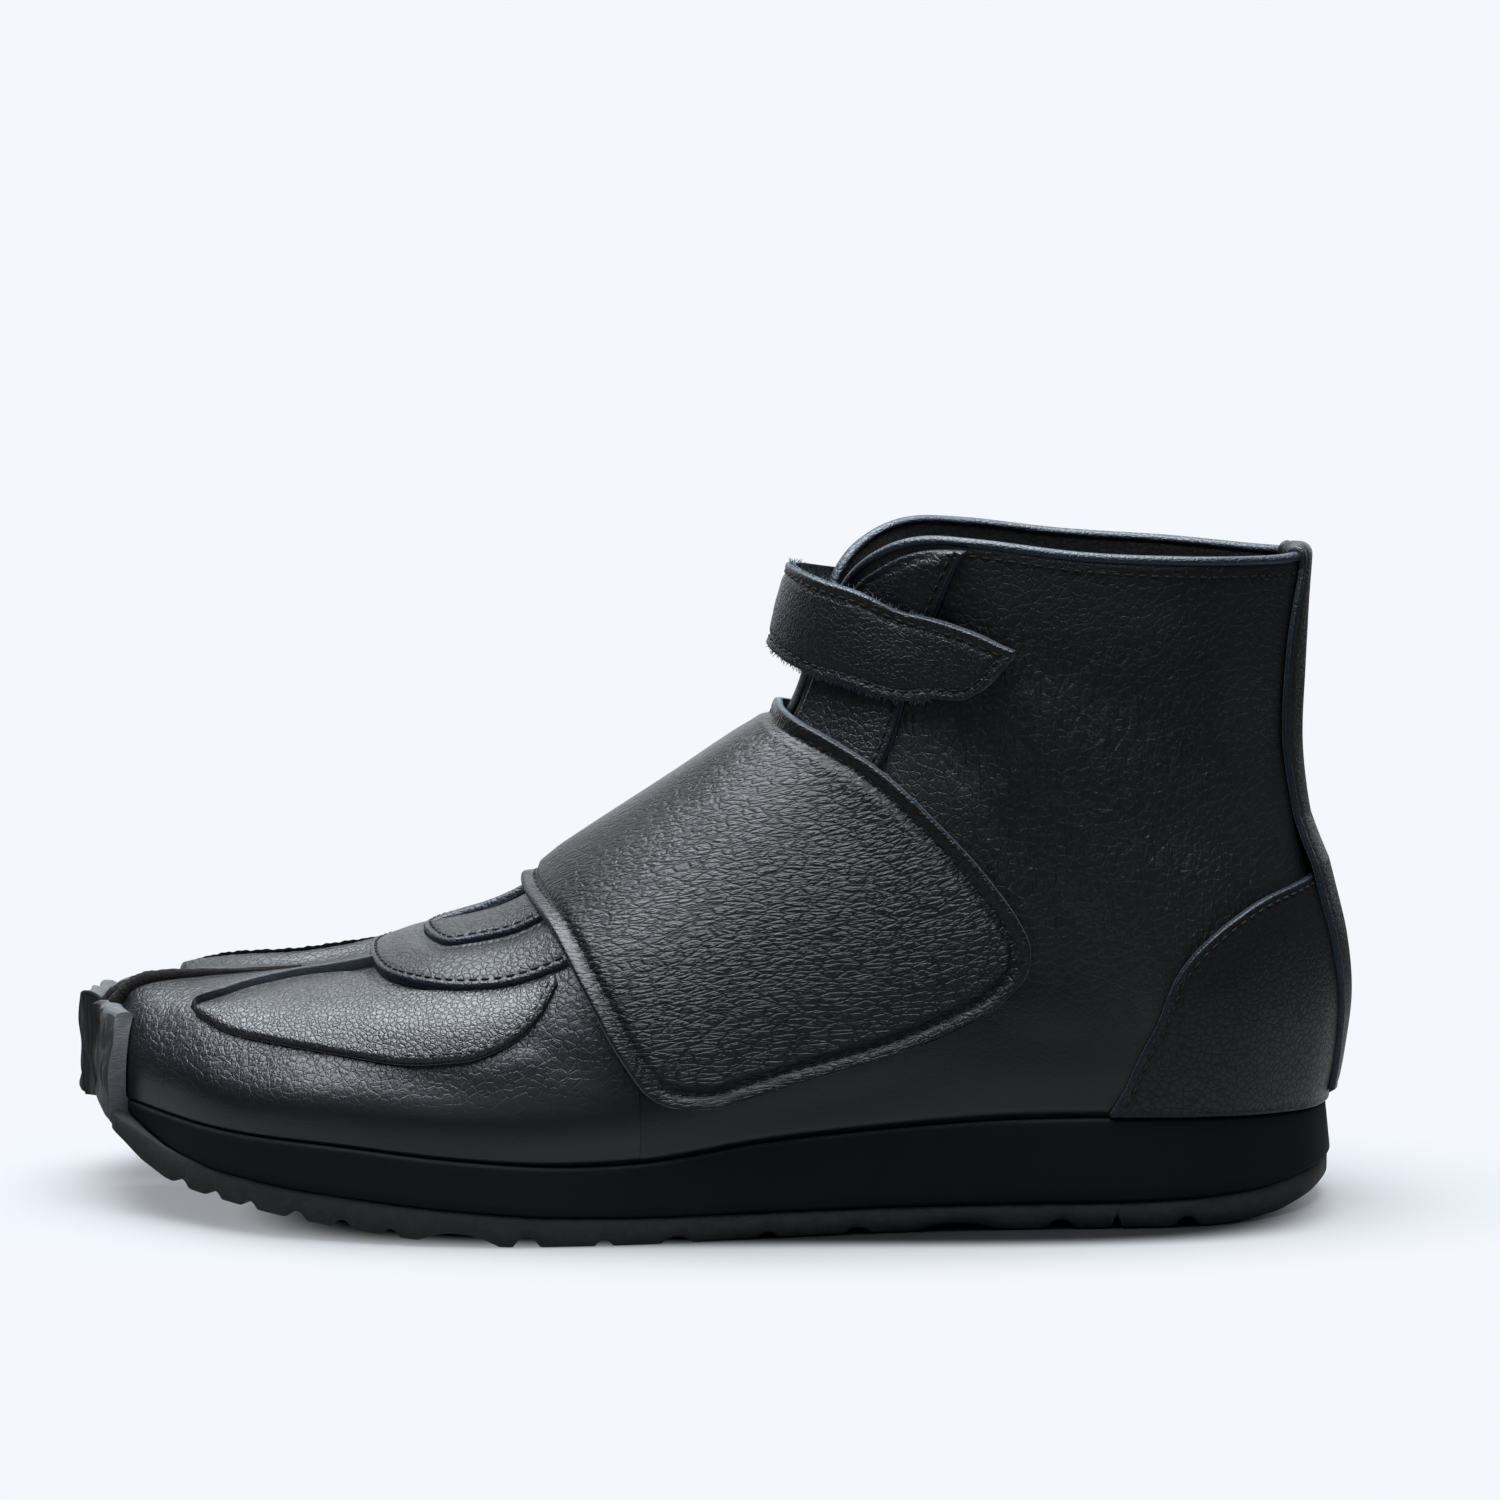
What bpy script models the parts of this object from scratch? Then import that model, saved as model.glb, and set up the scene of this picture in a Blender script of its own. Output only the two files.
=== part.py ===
"""Left tabi sneaker: split-toe leather high-top on a runner sole, closed by two straps.

Sizes in the tables are millimetres and become metres when a mesh is made.
X runs from the toe (-) to the heel (+), the outer side of the foot is -Y, Z is up from the floor.
"""
import bpy
import bmesh
import numpy as np

MM = 0.001
WALL = 1.8
GAP = 0.35
LIFT = 0.5
ORIGIN_X = 0.73
ORIGIN_Y = -0.63
LATERAL_SIDE = -1
MEDIAL_SIDE = 1
ROOT_STATION = 5
THROAT_STATION = 7
SOLE_ROOT_X = -96.0
CENTRE_Y_AT_ROOT = 7.0
BUMPER_TOP = 43.5
BUMPER_THICK = 4.4
BUMPER_END = 1.9
MIDSOLE_FLARE = 1.2
OUTSOLE_EDGE = 0.6
PANEL_THICK = 1.2
LEAF_TOP_THICK = 0.5
BACKSTAY_LIFT = 2.1
STRAP_LIFT = 2.4
STRAP_THICK = 2.0
STRAP_CROWN = 1.5
ANKLE_LIFT = 3.3
ANKLE_THICK = 2.2
INSOLE_THICK = 3.0
INSOLE_INSET = 4.0
CLEFT_CLEAR = 0.6
CLEFT_END = 1.5
HEEL_TURN_X = 118.0
LEATHER_COLOUR = (0.018, 0.019, 0.022)
STRAP_COLOUR = (0.022, 0.023, 0.026)
FOAM_COLOUR = (0.012, 0.012, 0.013)
RUBBER_COLOUR = (0.045, 0.045, 0.045)
LINING_COLOUR = (0.02, 0.02, 0.022)
TOE_STATIONS = (0.0, 0.35, 0.7, 1.05, 1.4, 1.65, 1.9, 1.95, 2.3, 2.7, 3.1, 3.5, 4.0, 4.5)

# One row for each section of half the upper: foot on the sole's edge, sole lip, top edge, and section shape.
SECTION_COLUMNS = ("foot_x", "foot_y", "lip", "top_x", "top_y", "top_z", "round", "belly", "heel")
LATERAL = (
    (-137.5, 3.8, 4.4, -137.5, 3.8, 42.5, 0.00, 0.0, 0.0),
    (-135.0, -5.0, 4.4, -133.0, 4.0, 47.4, 1.00, 0.0, 0.0),
    (-131.6, -14.0, 4.0, -127.0, 4.3, 49.9, 1.00, 0.3, 0.0),
    (-122.0, -24.0, 2.5, -115.0, 4.8, 51.6, 1.00, 0.8, 0.0),
    (-110.0, -33.5, 1.2, -104.0, 5.5, 52.6, 1.00, 1.2, 0.0),
    (-95.0, -41.0, 1.0, -93.0, 7.0, 53.0, 1.00, 1.5, 0.0),
    (-76.0, -46.0, 1.0, -78.0, 6.5, 57.0, 1.00, 1.5, 0.0),
    (-56.0, -49.0, 1.0, -62.5, 4.2, 63.8, 1.00, 1.5, 0.0),
    (-36.0, -49.5, 1.0, -44.0, -1.5, 70.3, 0.95, 2.0, 0.0),
    (-12.0, -47.0, 1.0, -20.0, -7.5, 85.5, 0.90, 3.0, 0.0),
    (15.0, -41.8, 1.0, 2.0, -10.5, 100.5, 0.85, 4.0, 0.0),
    (42.0, -37.3, 1.0, 18.0, -12.0, 112.5, 0.80, 5.0, 0.0),
    (62.0, -35.3, 1.0, 25.0, -13.8, 128.0, 0.75, 5.0, 0.0),
    (76.0, -34.4, 1.0, 31.0, -17.5, 143.0, 0.65, 4.5, 0.0),
    (86.0, -34.0, 1.0, 38.0, -23.0, 150.6, 0.50, 4.0, 0.0),
    (94.0, -33.7, 1.0, 47.0, -28.2, 154.7, 0.35, 4.0, 0.0),
    (101.0, -33.2, 1.0, 60.0, -32.2, 154.4, 0.20, 3.5, 0.1),
    (110.0, -32.0, 1.0, 83.0, -34.0, 151.5, 0.10, 3.0, 0.3),
    (122.0, -27.5, 1.0, 108.0, -30.0, 149.7, 0.00, 2.5, 0.6),
    (134.0, -18.5, 1.0, 127.0, -17.5, 148.4, 0.00, 1.0, 0.9),
    (140.0, -9.5, 1.0, 134.8, -8.5, 148.2, 0.00, 0.5, 1.0),
    (142.3, 0.0, 1.0, 137.2, 0.0, 148.3, 0.00, 0.0, 1.0),
)
MEDIAL = (
    (-141.5, 8.4, 5.0, -141.5, 8.4, 41.5, 0.00, 0.0, 0.0),
    (-141.3, 17.0, 5.0, -138.5, 8.2, 47.0, 1.00, 0.0, 0.0),
    (-139.0, 26.0, 4.5, -133.0, 8.0, 49.8, 1.00, 0.3, 0.0),
    (-133.0, 33.5, 2.5, -122.0, 7.8, 51.2, 1.00, 0.8, 0.0),
    (-120.0, 40.5, 1.2, -107.0, 7.5, 52.5, 1.00, 1.2, 0.0),
    (-99.0, 45.8, 1.0, -93.0, 7.0, 53.0, 1.00, 1.5, 0.0),
    (-78.0, 48.0, 1.0, -78.0, 6.5, 57.0, 1.00, 1.5, 0.0),
    (-58.0, 48.3, 1.0, -62.5, 4.2, 63.8, 1.00, 1.5, 0.0),
    (-37.0, 46.0, 1.0, -44.0, 6.2, 70.8, 0.95, 2.0, 0.0),
    (-12.0, 40.0, 1.0, -20.0, 8.5, 86.0, 0.90, 3.0, 0.0),
    (15.0, 34.5, 1.0, 2.0, 10.3, 100.5, 0.85, 4.0, 0.0),
    (42.0, 32.3, 1.0, 17.5, 11.6, 112.5, 0.80, 5.0, 0.0),
    (62.0, 32.0, 1.0, 24.3, 13.2, 128.0, 0.75, 5.0, 0.0),
    (76.0, 32.2, 1.0, 30.0, 16.5, 143.0, 0.65, 4.5, 0.0),
    (86.0, 32.5, 1.0, 37.0, 22.0, 150.6, 0.50, 4.0, 0.0),
    (94.0, 32.5, 1.0, 46.5, 27.5, 154.7, 0.35, 4.0, 0.0),
    (101.0, 32.2, 1.0, 60.0, 31.5, 154.4, 0.20, 3.5, 0.1),
    (110.0, 31.0, 1.0, 83.0, 33.5, 151.5, 0.10, 3.0, 0.3),
    (122.0, 26.5, 1.0, 108.0, 30.0, 149.7, 0.00, 2.5, 0.6),
    (134.0, 18.0, 1.0, 127.0, 17.5, 148.4, 0.00, 1.0, 0.9),
    (140.0, 9.5, 1.0, 134.8, 8.5, 148.2, 0.00, 0.5, 1.0),
    (142.3, 0.0, 1.0, 137.2, 0.0, 148.3, 0.00, 0.0, 1.0),
)
LAST = len(LATERAL) - 1

# Heights along the shoe (x, z): where the upper meets the sole, where foam meets rubber, and the tread.
FEATHER_LINE = (
    (-148.0, 25.6), (-130.0, 24.4), (-110.0, 22.6), (-83.0, 21.3), (-53.0, 18.8), (-30.0, 17.6), (-14.0, 18.0),
    (12.0, 21.3), (42.0, 23.5), (65.0, 24.7), (90.0, 25.0), (115.0, 24.6), (148.0, 22.0),
)
FOAM_LINE = (
    (-148.0, 23.4), (-137.0, 22.6), (-130.0, 20.3), (-122.0, 16.9), (-110.0, 13.7), (-91.0, 11.2), (-60.0, 8.3), (-36.0, 6.6), (-14.0, 6.0),
    (12.0, 5.8), (46.0, 5.7), (93.0, 5.8), (111.0, 6.4), (126.0, 7.2), (136.0, 8.8), (148.0, 10.4),
)
FLOOR_LINE = (
    (-148.0, 20.6), (-141.0, 19.8), (-137.0, 19.0), (-132.5, 16.2), (-128.0, 12.8), (-122.0, 9.7), (-115.0, 8.0), (-95.0, 5.1), (-75.0, 2.6), (-60.0, 0.9),
    (-48.0, 0.0), (-20.0, 0.0), (60.0, 0.0), (118.0, 0.0), (130.0, 1.2), (138.0, 3.4), (148.0, 6.8),
)
# Notches of the tread from toe to heel (x, width, depth), deepest at both edges of the sole.
TREAD = (
    (-118.0, 4.0, 1.5), (-110.0, 4.0, 1.6), (-101.5, 4.0, 1.6), (-90.5, 5.0, 1.8), (-80.0, 5.0, 1.8), (-69.0, 4.0, 1.6),
    (-54.0, 18.0, 2.4), (-39.0, 6.0, 2.2), (-22.0, 4.0, 1.2), (-6.0, 7.0, 1.4), (14.0, 5.0, 1.2), (34.0, 6.0, 1.4),
    (56.0, 18.0, 1.6), (79.5, 7.0, 2.0), (92.0, 2.4, 2.6), (108.0, 6.0, 2.2),
)
# Outward swell of the heel up the back seam (girth, swell).
HEEL_SWELL = (
    (0.0, 0.0), (0.1, 2.4), (0.2, 4.0), (0.3, 3.2), (0.4, 0.6), (0.5, -2.2), (0.65, -4.3), (0.8, -3.3), (1.0, -1.2),
)

# Edges of the panels on the upper, as (station, girth) of one edge and of the other, a row for each step along it.
EDGE_COLUMNS = ("first_station", "first_girth", "second_station", "second_girth")
LEAF = (
    (3.40, 0.585, 3.40, 0.585), (3.80, 0.690, 3.75, 0.510), (4.25, 0.777, 4.15, 0.462), (4.88, 0.840, 5.00, 0.425),
    (5.45, 0.845, 5.80, 0.365), (5.93, 0.800, 6.30, 0.325), (6.18, 0.695, 6.65, 0.307), (6.52, 0.615, 7.00, 0.303),
    (7.03, 0.533, 7.35, 0.310), (7.53, 0.508, 7.75, 0.350), (7.95, 0.505, 8.02, 0.405), (8.16, 0.505, 8.18, 0.480),
)
FACING = (
    (6.00, 1.000, 6.85, 1.000), (6.06, 0.880, 6.87, 0.950), (6.25, 0.740, 6.92, 0.890), (6.55, 0.645, 7.00, 0.835),
    (7.03, 0.562, 7.15, 0.785), (7.53, 0.537, 7.55, 0.777), (8.05, 0.535, 8.10, 0.770), (8.60, 0.540, 8.70, 0.800),
    (9.60, 0.560, 9.60, 0.880), (10.6, 0.600, 10.6, 0.955), (11.65, 0.652, 11.4, 0.972), (12.43, 0.710, 12.3, 0.972),
    (13.4, 0.770, 13.2, 0.972), (14.33, 0.828, 13.8, 0.968), (15.0, 0.880, 14.4, 0.965), (15.6, 0.945, 15.0, 0.965),
)
COUNTER = (
    (14.80, 0.030, 14.75, 0.015), (15.40, 0.062, 15.30, 0.015), (16.40, 0.147, 16.00, 0.015), (17.00, 0.247, 16.80, 0.015),
    (17.75, 0.345, 17.70, 0.015), (18.30, 0.390, 18.50, 0.015), (18.90, 0.412, 19.10, 0.015), (19.60, 0.425, 19.70, 0.015),
    (20.30, 0.430, 20.30, 0.015), (21.00, 0.432, 21.00, 0.015),
)
# Edge of the backstay up the heel (girth, station).
BACKSTAY = (
    (0.020, 20.15), (0.100, 20.05), (0.170, 19.92), (0.300, 19.68), (0.410, 19.55), (0.480, 19.50), (0.560, 19.45),
    (0.680, 19.32), (0.800, 19.38), (0.900, 19.60), (0.980, 19.95),
)
# Instep strap from its rounded lateral end over the throat to its sewn medial end: front edge, then rear edge.
STRAP_LATERAL = (
    (9.55, 0.092, 12.30, 0.172), (9.20, 0.113, 12.92, 0.206), (8.98, 0.150, 13.15, 0.245), (8.83, 0.208, 13.02, 0.290),
    (8.65, 0.310, 12.60, 0.370), (8.45, 0.480, 12.05, 0.500), (8.30, 0.680, 11.60, 0.670), (8.20, 0.850, 11.30, 0.830),
    (8.15, 1.000, 11.15, 1.000),
)
STRAP_MEDIAL = (
    (8.15, 1.000, 11.15, 1.000), (8.20, 0.850, 11.30, 0.850), (8.35, 0.680, 11.60, 0.680), (8.55, 0.500, 11.90, 0.500),
    (8.80, 0.320, 12.20, 0.360), (9.00, 0.220, 12.30, 0.260),
)
# Ankle strap: where it lies on the shaft (top edge, bottom edge), and its loop ahead of the throat.
ANKLE_LATERAL = (
    (15.88, 0.785, 15.75, 0.765), (15.70, 0.788, 15.10, 0.705), (15.30, 0.797, 14.40, 0.665), (14.70, 0.812, 13.70, 0.648),
    (14.18, 0.830, 13.00, 0.665), (13.75, 0.850, 12.50, 0.705),
)
ANKLE_MEDIAL = (
    (13.75, 0.850, 12.50, 0.705), (14.25, 0.826, 13.10, 0.662), (14.80, 0.808, 13.80, 0.646), (15.20, 0.800, 14.30, 0.655),
)
ANKLE_LOOP_COLUMNS = ("top_x", "top_y", "top_z", "bottom_x", "bottom_y", "bottom_z")
ANKLE_LOOP = (
    (33.5, -26.0, 142.2, 31.0, -26.0, 121.6), (26.5, -19.5, 143.9, 24.0, -19.0, 122.8), (21.5, -10.5, 145.3, 17.8, -10.0, 125.2),
    (19.3, 0.5, 146.0, 14.6, 0.5, 127.3), (21.0, 11.0, 145.3, 17.5, 10.5, 125.2), (26.0, 19.0, 143.9, 23.5, 18.5, 122.8),
    (33.0, 25.5, 142.2, 30.5, 25.5, 121.6),
)


def spline(knots, values, at, level_end=False):
    """Cubic curve through the values, with slopes taken from the neighbours, or none at a level end."""
    knots = np.asarray(knots, float)
    values = np.asarray(values, float)
    at = np.asarray(at, float)
    step = np.diff(knots)
    slope = np.diff(values) / step
    tangent = np.empty_like(values)
    tangent[1:-1] = (slope[:-1] * step[1:] + slope[1:] * step[:-1]) / (step[:-1] + step[1:])
    tangent[0] = slope[0]
    tangent[-1] = 0.0 if level_end else slope[-1]
    k = np.clip(np.searchsorted(knots, at, side="right") - 1, 0, len(knots) - 2)
    h = step[k]
    t = (at - knots[k]) / h
    start = (1 + 2 * t) * (1 - t) ** 2 * values[k] + t * (1 - t) ** 2 * h * tangent[k]
    end = t * t * (3 - 2 * t) * values[k + 1] + t * t * (t - 1) * h * tangent[k + 1]
    return start + end


def along(table, at):
    """Second column of a two-column table at values of the first."""
    return spline([row[0] for row in table], [row[1] for row in table], at)


def height(table, x):
    """Height from a line table, straight between its rows so that flats stay flat."""
    return np.interp(x, [row[0] for row in table], [row[1] for row in table])


def columns(table, station):
    """Every column of a section table at a station, a row number that may fall between rows."""
    rows = np.arange(len(table), dtype=float)
    crossing = (SECTION_COLUMNS.index("foot_y"), SECTION_COLUMNS.index("top_y"))
    return [spline(rows, [row[i] for row in table], station, i not in crossing) for i in range(len(table[0]))]


def half(side):
    return LATERAL if side == LATERAL_SIDE else MEDIAL


def plan_normal(side, station):
    """Outward direction of the foot line, seen from above, straight back at the heel's seam."""
    step = 0.02
    station = np.asarray(station, float)
    before = columns(half(side), np.clip(station - step, 0, LAST))
    after = columns(half(side), np.clip(station + step, 0, LAST))
    dx = (after[0] - before[0]) * (station < LAST)
    dy = after[1] - before[1]
    length = np.hypot(dx, dy)
    return side * -dy / length, side * dx / length


def top_edge(side, station):
    """Top edge of half the upper; between the cleft and the throat both halves share one ridge."""
    own = np.stack(columns(half(side), station)[3:6])
    other = np.stack(columns(half(-side), station)[3:6])
    ridge = (station >= ROOT_STATION) & (station <= THROAT_STATION)
    return np.where(ridge, (own + other) / 2, own)


def skin(side, station, girth):
    """Outer face of the upper: station runs from the cleft to the heel, girth from the sole to the top edge."""
    station, girth = np.broadcast_arrays(np.asarray(station, float), np.asarray(girth, float))
    foot_x, foot_y = columns(half(side), station)[:2]
    roundness, belly, heel = columns(half(side), station)[6:]
    top_x, top_y, top_z = top_edge(side, station)
    foot_z = along(FEATHER_LINE, foot_x) + GAP
    roundness = np.clip(roundness, 0, 1)
    turn = girth * np.pi / 2
    across = (1 - roundness) * girth + roundness * (1 - np.cos(turn))
    rise = (1 - roundness) * girth + roundness * np.sin(turn)
    normal_x, normal_y = plan_normal(side, station)
    swell = belly * np.sin(np.pi * girth) + heel * along(HEEL_SWELL, girth)
    x = foot_x + (top_x - foot_x) * across + normal_x * swell
    y = foot_y + (top_y - foot_y) * across + normal_y * swell
    z = foot_z + (top_z - foot_z) * rise
    return np.stack([x, y, z], axis=-1)


def skin_normal(side, station, girth):
    step = 0.01
    station, girth = np.broadcast_arrays(np.asarray(station, float), np.asarray(girth, float))
    ahead = skin(side, np.clip(station + step, 0, LAST), girth) - skin(side, np.clip(station - step, 0, LAST), girth)
    upward = skin(side, station, np.clip(girth + step, 0, 1)) - skin(side, station, np.clip(girth - step, 0, 1))
    normal = np.cross(ahead, upward) * -side
    return normal / np.linalg.norm(normal, axis=-1, keepdims=True)


def raised(side, station, girth, lift):
    """Point that stands off the upper by a lift."""
    lift = np.asarray(lift, float)
    return skin(side, station, girth) + skin_normal(side, station, girth) * lift[..., None]


def grid_faces(rows, count, start=0):
    """Quads of a grid of points stored row by row."""
    faces = []
    for i in range(rows - 1):
        for j in range(count - 1):
            a = start + i * count + j
            faces.append((a, a + 1, a + count + 1, a + count))
    return faces


def joined(grids):
    """Points and quads of several grids, with shared points welded."""
    points = []
    faces = []
    for grid in grids:
        start = sum(len(block) for block in points)
        points.append(grid.reshape(-1, 3))
        faces += grid_faces(grid.shape[0], grid.shape[1], start)
    points = np.concatenate(points)
    keys = np.round(points, 3)
    unique, first, place = np.unique(keys, axis=0, return_index=True, return_inverse=True)
    place = place.reshape(-1)
    clean = []
    for face in faces:
        ring = []
        for corner in face:
            index = int(place[corner])
            if index not in ring:
                ring.append(index)
        if len(ring) > 2:
            clean.append(tuple(ring))
    return points[first], clean


def material(name, colour, roughness):
    made = bpy.data.materials.new(name)
    made.use_nodes = True
    shader = made.node_tree.nodes["Principled BSDF"]
    shader.inputs["Base Color"].default_value = (*colour, 1.0)
    shader.inputs["Roughness"].default_value = roughness
    shader.inputs["Metallic"].default_value = 0.0
    return made


def solid(name, points, faces, look):
    """Closed body from points in millimetres, its faces turned outwards."""
    mesh = bpy.data.meshes.new(name)
    body = bmesh.new()
    placed = (np.asarray(points) - (ORIGIN_X, ORIGIN_Y, 0.0)) * MM
    corners = [body.verts.new(point) for point in placed.tolist()]
    for face in faces:
        body.faces.new([corners[index] for index in face])
    bmesh.ops.triangulate(body, faces=body.faces[:])
    bmesh.ops.recalc_face_normals(body, faces=body.faces[:])
    body.to_mesh(mesh)
    body.free()
    mesh.shade_smooth()
    mesh.set_sharp_from_angle(angle=np.radians(40))
    mesh.materials.append(look)
    made = bpy.data.objects.new(name, mesh)
    bpy.context.collection.objects.link(made)
    return made


def sheet(name, inner, outer, look):
    """Thin body between two grids of the same shape, closed round their border."""
    rims = [
        np.stack([inner[0], outer[0]]),
        np.stack([inner[-1], outer[-1]]),
        np.stack([inner[:, 0], outer[:, 0]]),
        np.stack([inner[:, -1], outer[:, -1]]),
    ]
    points, faces = joined([inner, outer] + rims)
    return solid(name, points, faces, look)


def cleft_wall(side, girths):
    """Wall of the cleft, straight down from the cleft's top edge to the sole."""
    station = np.linspace(0, ROOT_STATION, 11)
    top = skin(side, station, 1.0)
    foot_z = along(FEATHER_LINE, top[:, 0]) + GAP
    wall = np.repeat(top[:, None, :], len(girths), axis=1)
    wall[:, :, 2] = foot_z[:, None] + (top[:, 2] - foot_z)[:, None] * girths
    return wall


def make_upper(look):
    """Leather wall: both halves and the cleft, each point backed by one a wall thickness inside."""
    girths = np.linspace(0, 1, 13)
    station = np.concatenate([np.linspace(0, 5, 11), np.linspace(5.5, 17, 24), np.linspace(17.4, LAST, 10)])
    grids = []
    for side in (LATERAL_SIDE, MEDIAL_SIDE):
        grids.append(skin(side, station[:, None], girths[None, :]))
        grids.append(cleft_wall(side, girths))
    outer, faces = joined(grids)
    normals = np.zeros_like(outer)
    shell = bmesh.new()
    corners = [shell.verts.new(point) for point in outer.tolist()]
    for face in faces:
        shell.faces.new([corners[index] for index in face])
    bmesh.ops.recalc_face_normals(shell, faces=shell.faces[:])
    shell.verts.ensure_lookup_table()
    shell.verts.index_update()
    heel = int(np.argmax(outer[:, 0]))
    flip = -1.0 if sum(face.normal.x for face in shell.verts[heel].link_faces) < 0 else 1.0
    for corner in shell.verts:
        around = np.array([face.normal for face in corner.link_faces]) * flip
        weight = np.array([face.calc_area() for face in corner.link_faces]) ** 0.5
        normal = (around * weight[:, None]).sum(axis=0)
        low = corner.is_boundary and outer[corner.index][2] < along(FEATHER_LINE, outer[corner.index][0]) + 1.0
        if low:
            normal[2] = 0.0
        normal /= np.linalg.norm(normal)
        spread = max(float((around @ normal).mean()), 0.6)
        normals[corner.index] = normal / spread
    inner = outer - normals * WALL
    count = len(outer)
    rim = [tuple(vert.index for vert in edge.verts) for edge in shell.edges if edge.is_boundary]
    shell.free()
    closed = list(faces)
    closed += [tuple(index + count for index in face) for face in faces]
    closed += [(a, b, b + count, a + count) for a, b in rim]
    return solid("upper", np.concatenate([outer, inner]), closed, look)


def cleft_line(side, x, clear):
    """Side of the cleft in plan, pulled back by a clearance."""
    table = half(side)
    front = table[0]
    root = table[ROOT_STATION]
    middle = np.interp(x, [front[0], root[0]], [front[4], root[4]])
    return middle + side * clear


def centre_line(x):
    return np.interp(x, [SOLE_ROOT_X, 20.0], [CENTRE_Y_AT_ROOT, 0.0])


def sole_plan(side, reach, clear):
    """Outline of a sole layer in plan as dense points, from the cleft's front corner to the back of the heel."""
    station = np.linspace(0, LAST, 1201)
    foot_x, foot_y, lip = columns(half(side), station)[:3]
    normal_x, normal_y = plan_normal(side, station)
    spread = reach(station, lip)
    x = foot_x + normal_x * spread
    y = foot_y + normal_y * spread
    keep = (side * (y - cleft_line(side, x, clear)) >= 0) | (station > 2)
    return np.maximum.accumulate(x[keep]), y[keep], station[keep]


def plan_points(side, reach, clear, root_x, lobe_x, body_x):
    """Edge and inner points of a sole layer: toe stations, then chosen x values on the lobe and behind the cleft."""
    x, y, station = sole_plan(side, reach, clear)
    toe = np.interp(TOE_STATIONS, station, x)
    toe = np.unique(np.concatenate([[x[0]], toe[toe > x[0] + 0.05], lobe_x]))
    level = np.concatenate([toe[toe < root_x - CLEFT_END - 0.5], [root_x - CLEFT_END], body_x])
    edge_y = np.interp(level, x, y)
    inner_y = np.where(level < root_x - 0.01, cleft_line(side, level, clear), centre_line(level))
    inner_y[0] = edge_y[0]
    inner_y[-1] = 0.0
    edge_y[-1] = 0.0
    return level, edge_y, inner_y, np.interp(level, x, station)


def body_levels(root_x, back, middle):
    """X values from the root of the cleft to the back of the heel, closer together round the heel."""
    heel = back - (back - HEEL_TURN_X) * (1 - np.sin(np.linspace(0, np.pi / 2, 9)))
    return np.concatenate([[root_x], middle[middle < HEEL_TURN_X - 1.0], heel])


def at_height(x, y, z):
    return np.stack([x, y, np.broadcast_to(z, np.shape(x))], axis=-1)


def blend(start, end, count):
    part = np.linspace(0, 1, count)[None, :, None]
    return start[:, None] * (1 - part) + end[:, None] * part


def midsole_reach(station, lip):
    """Foam edge beyond the upper: flush behind the bumper, then a narrow lip."""
    return np.interp(station, [BUMPER_END + 0.05, BUMPER_END + 0.7], [0.0, 1.0])


def make_layer(name, look, reach, flare, clear, root_x, low, high, middle):
    """Closed slab with a cleft: bottom, side, top and cleft wall of both halves."""
    back = half(LATERAL_SIDE)[LAST][0] + float(reach(float(LAST), 1.0))
    body_x = body_levels(root_x, back, middle)
    grids = []
    for side in (LATERAL_SIDE, MEDIAL_SIDE):
        x, edge_y, inner_y, station = plan_points(side, reach, clear, root_x, np.array([]), body_x)
        normal_x, normal_y = plan_normal(side, station)
        grow = flare * np.clip(station - BUMPER_END - 0.5, 0, 1)
        low_edge = at_height(x + normal_x * grow, edge_y + normal_y * grow, low(x))
        high_edge = at_height(x, edge_y, high(x))
        low_inner = at_height(x, inner_y, low(x))
        high_inner = at_height(x, inner_y, high(x))
        low_edge[-1, 1] = 0.0
        low_inner[-1] = low_edge[-1]
        lobe = x <= root_x + 0.01
        grids.append(blend(low_inner, low_edge, 3))
        grids.append(blend(low_edge, high_edge, 3))
        grids.append(blend(high_edge, high_inner, 3))
        grids.append(blend(high_inner, low_inner, 3)[lobe])
    points, faces = joined(grids)
    return solid(name, points, faces, look)


def girth_at(side, station, z):
    """Girth at which a section reaches a height."""
    girths = np.linspace(0, 1, 201)
    return float(np.interp(z, skin(side, station, girths)[:, 2], girths))


def bumper_profile(side, station, tray):
    """Section of the turned-up rubber at one station: up its outer face and down its inner face to the tray."""
    girths = np.linspace(0.02, girth_at(side, station, BUMPER_TOP), 4)
    face = skin(side, station, girths)
    away = np.array([*plan_normal(side, station), 0.0])
    outer = face + away * (GAP + BUMPER_THICK)
    inner = face + away * GAP
    return np.concatenate([outer, inner[::-1], tray[None]])


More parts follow.
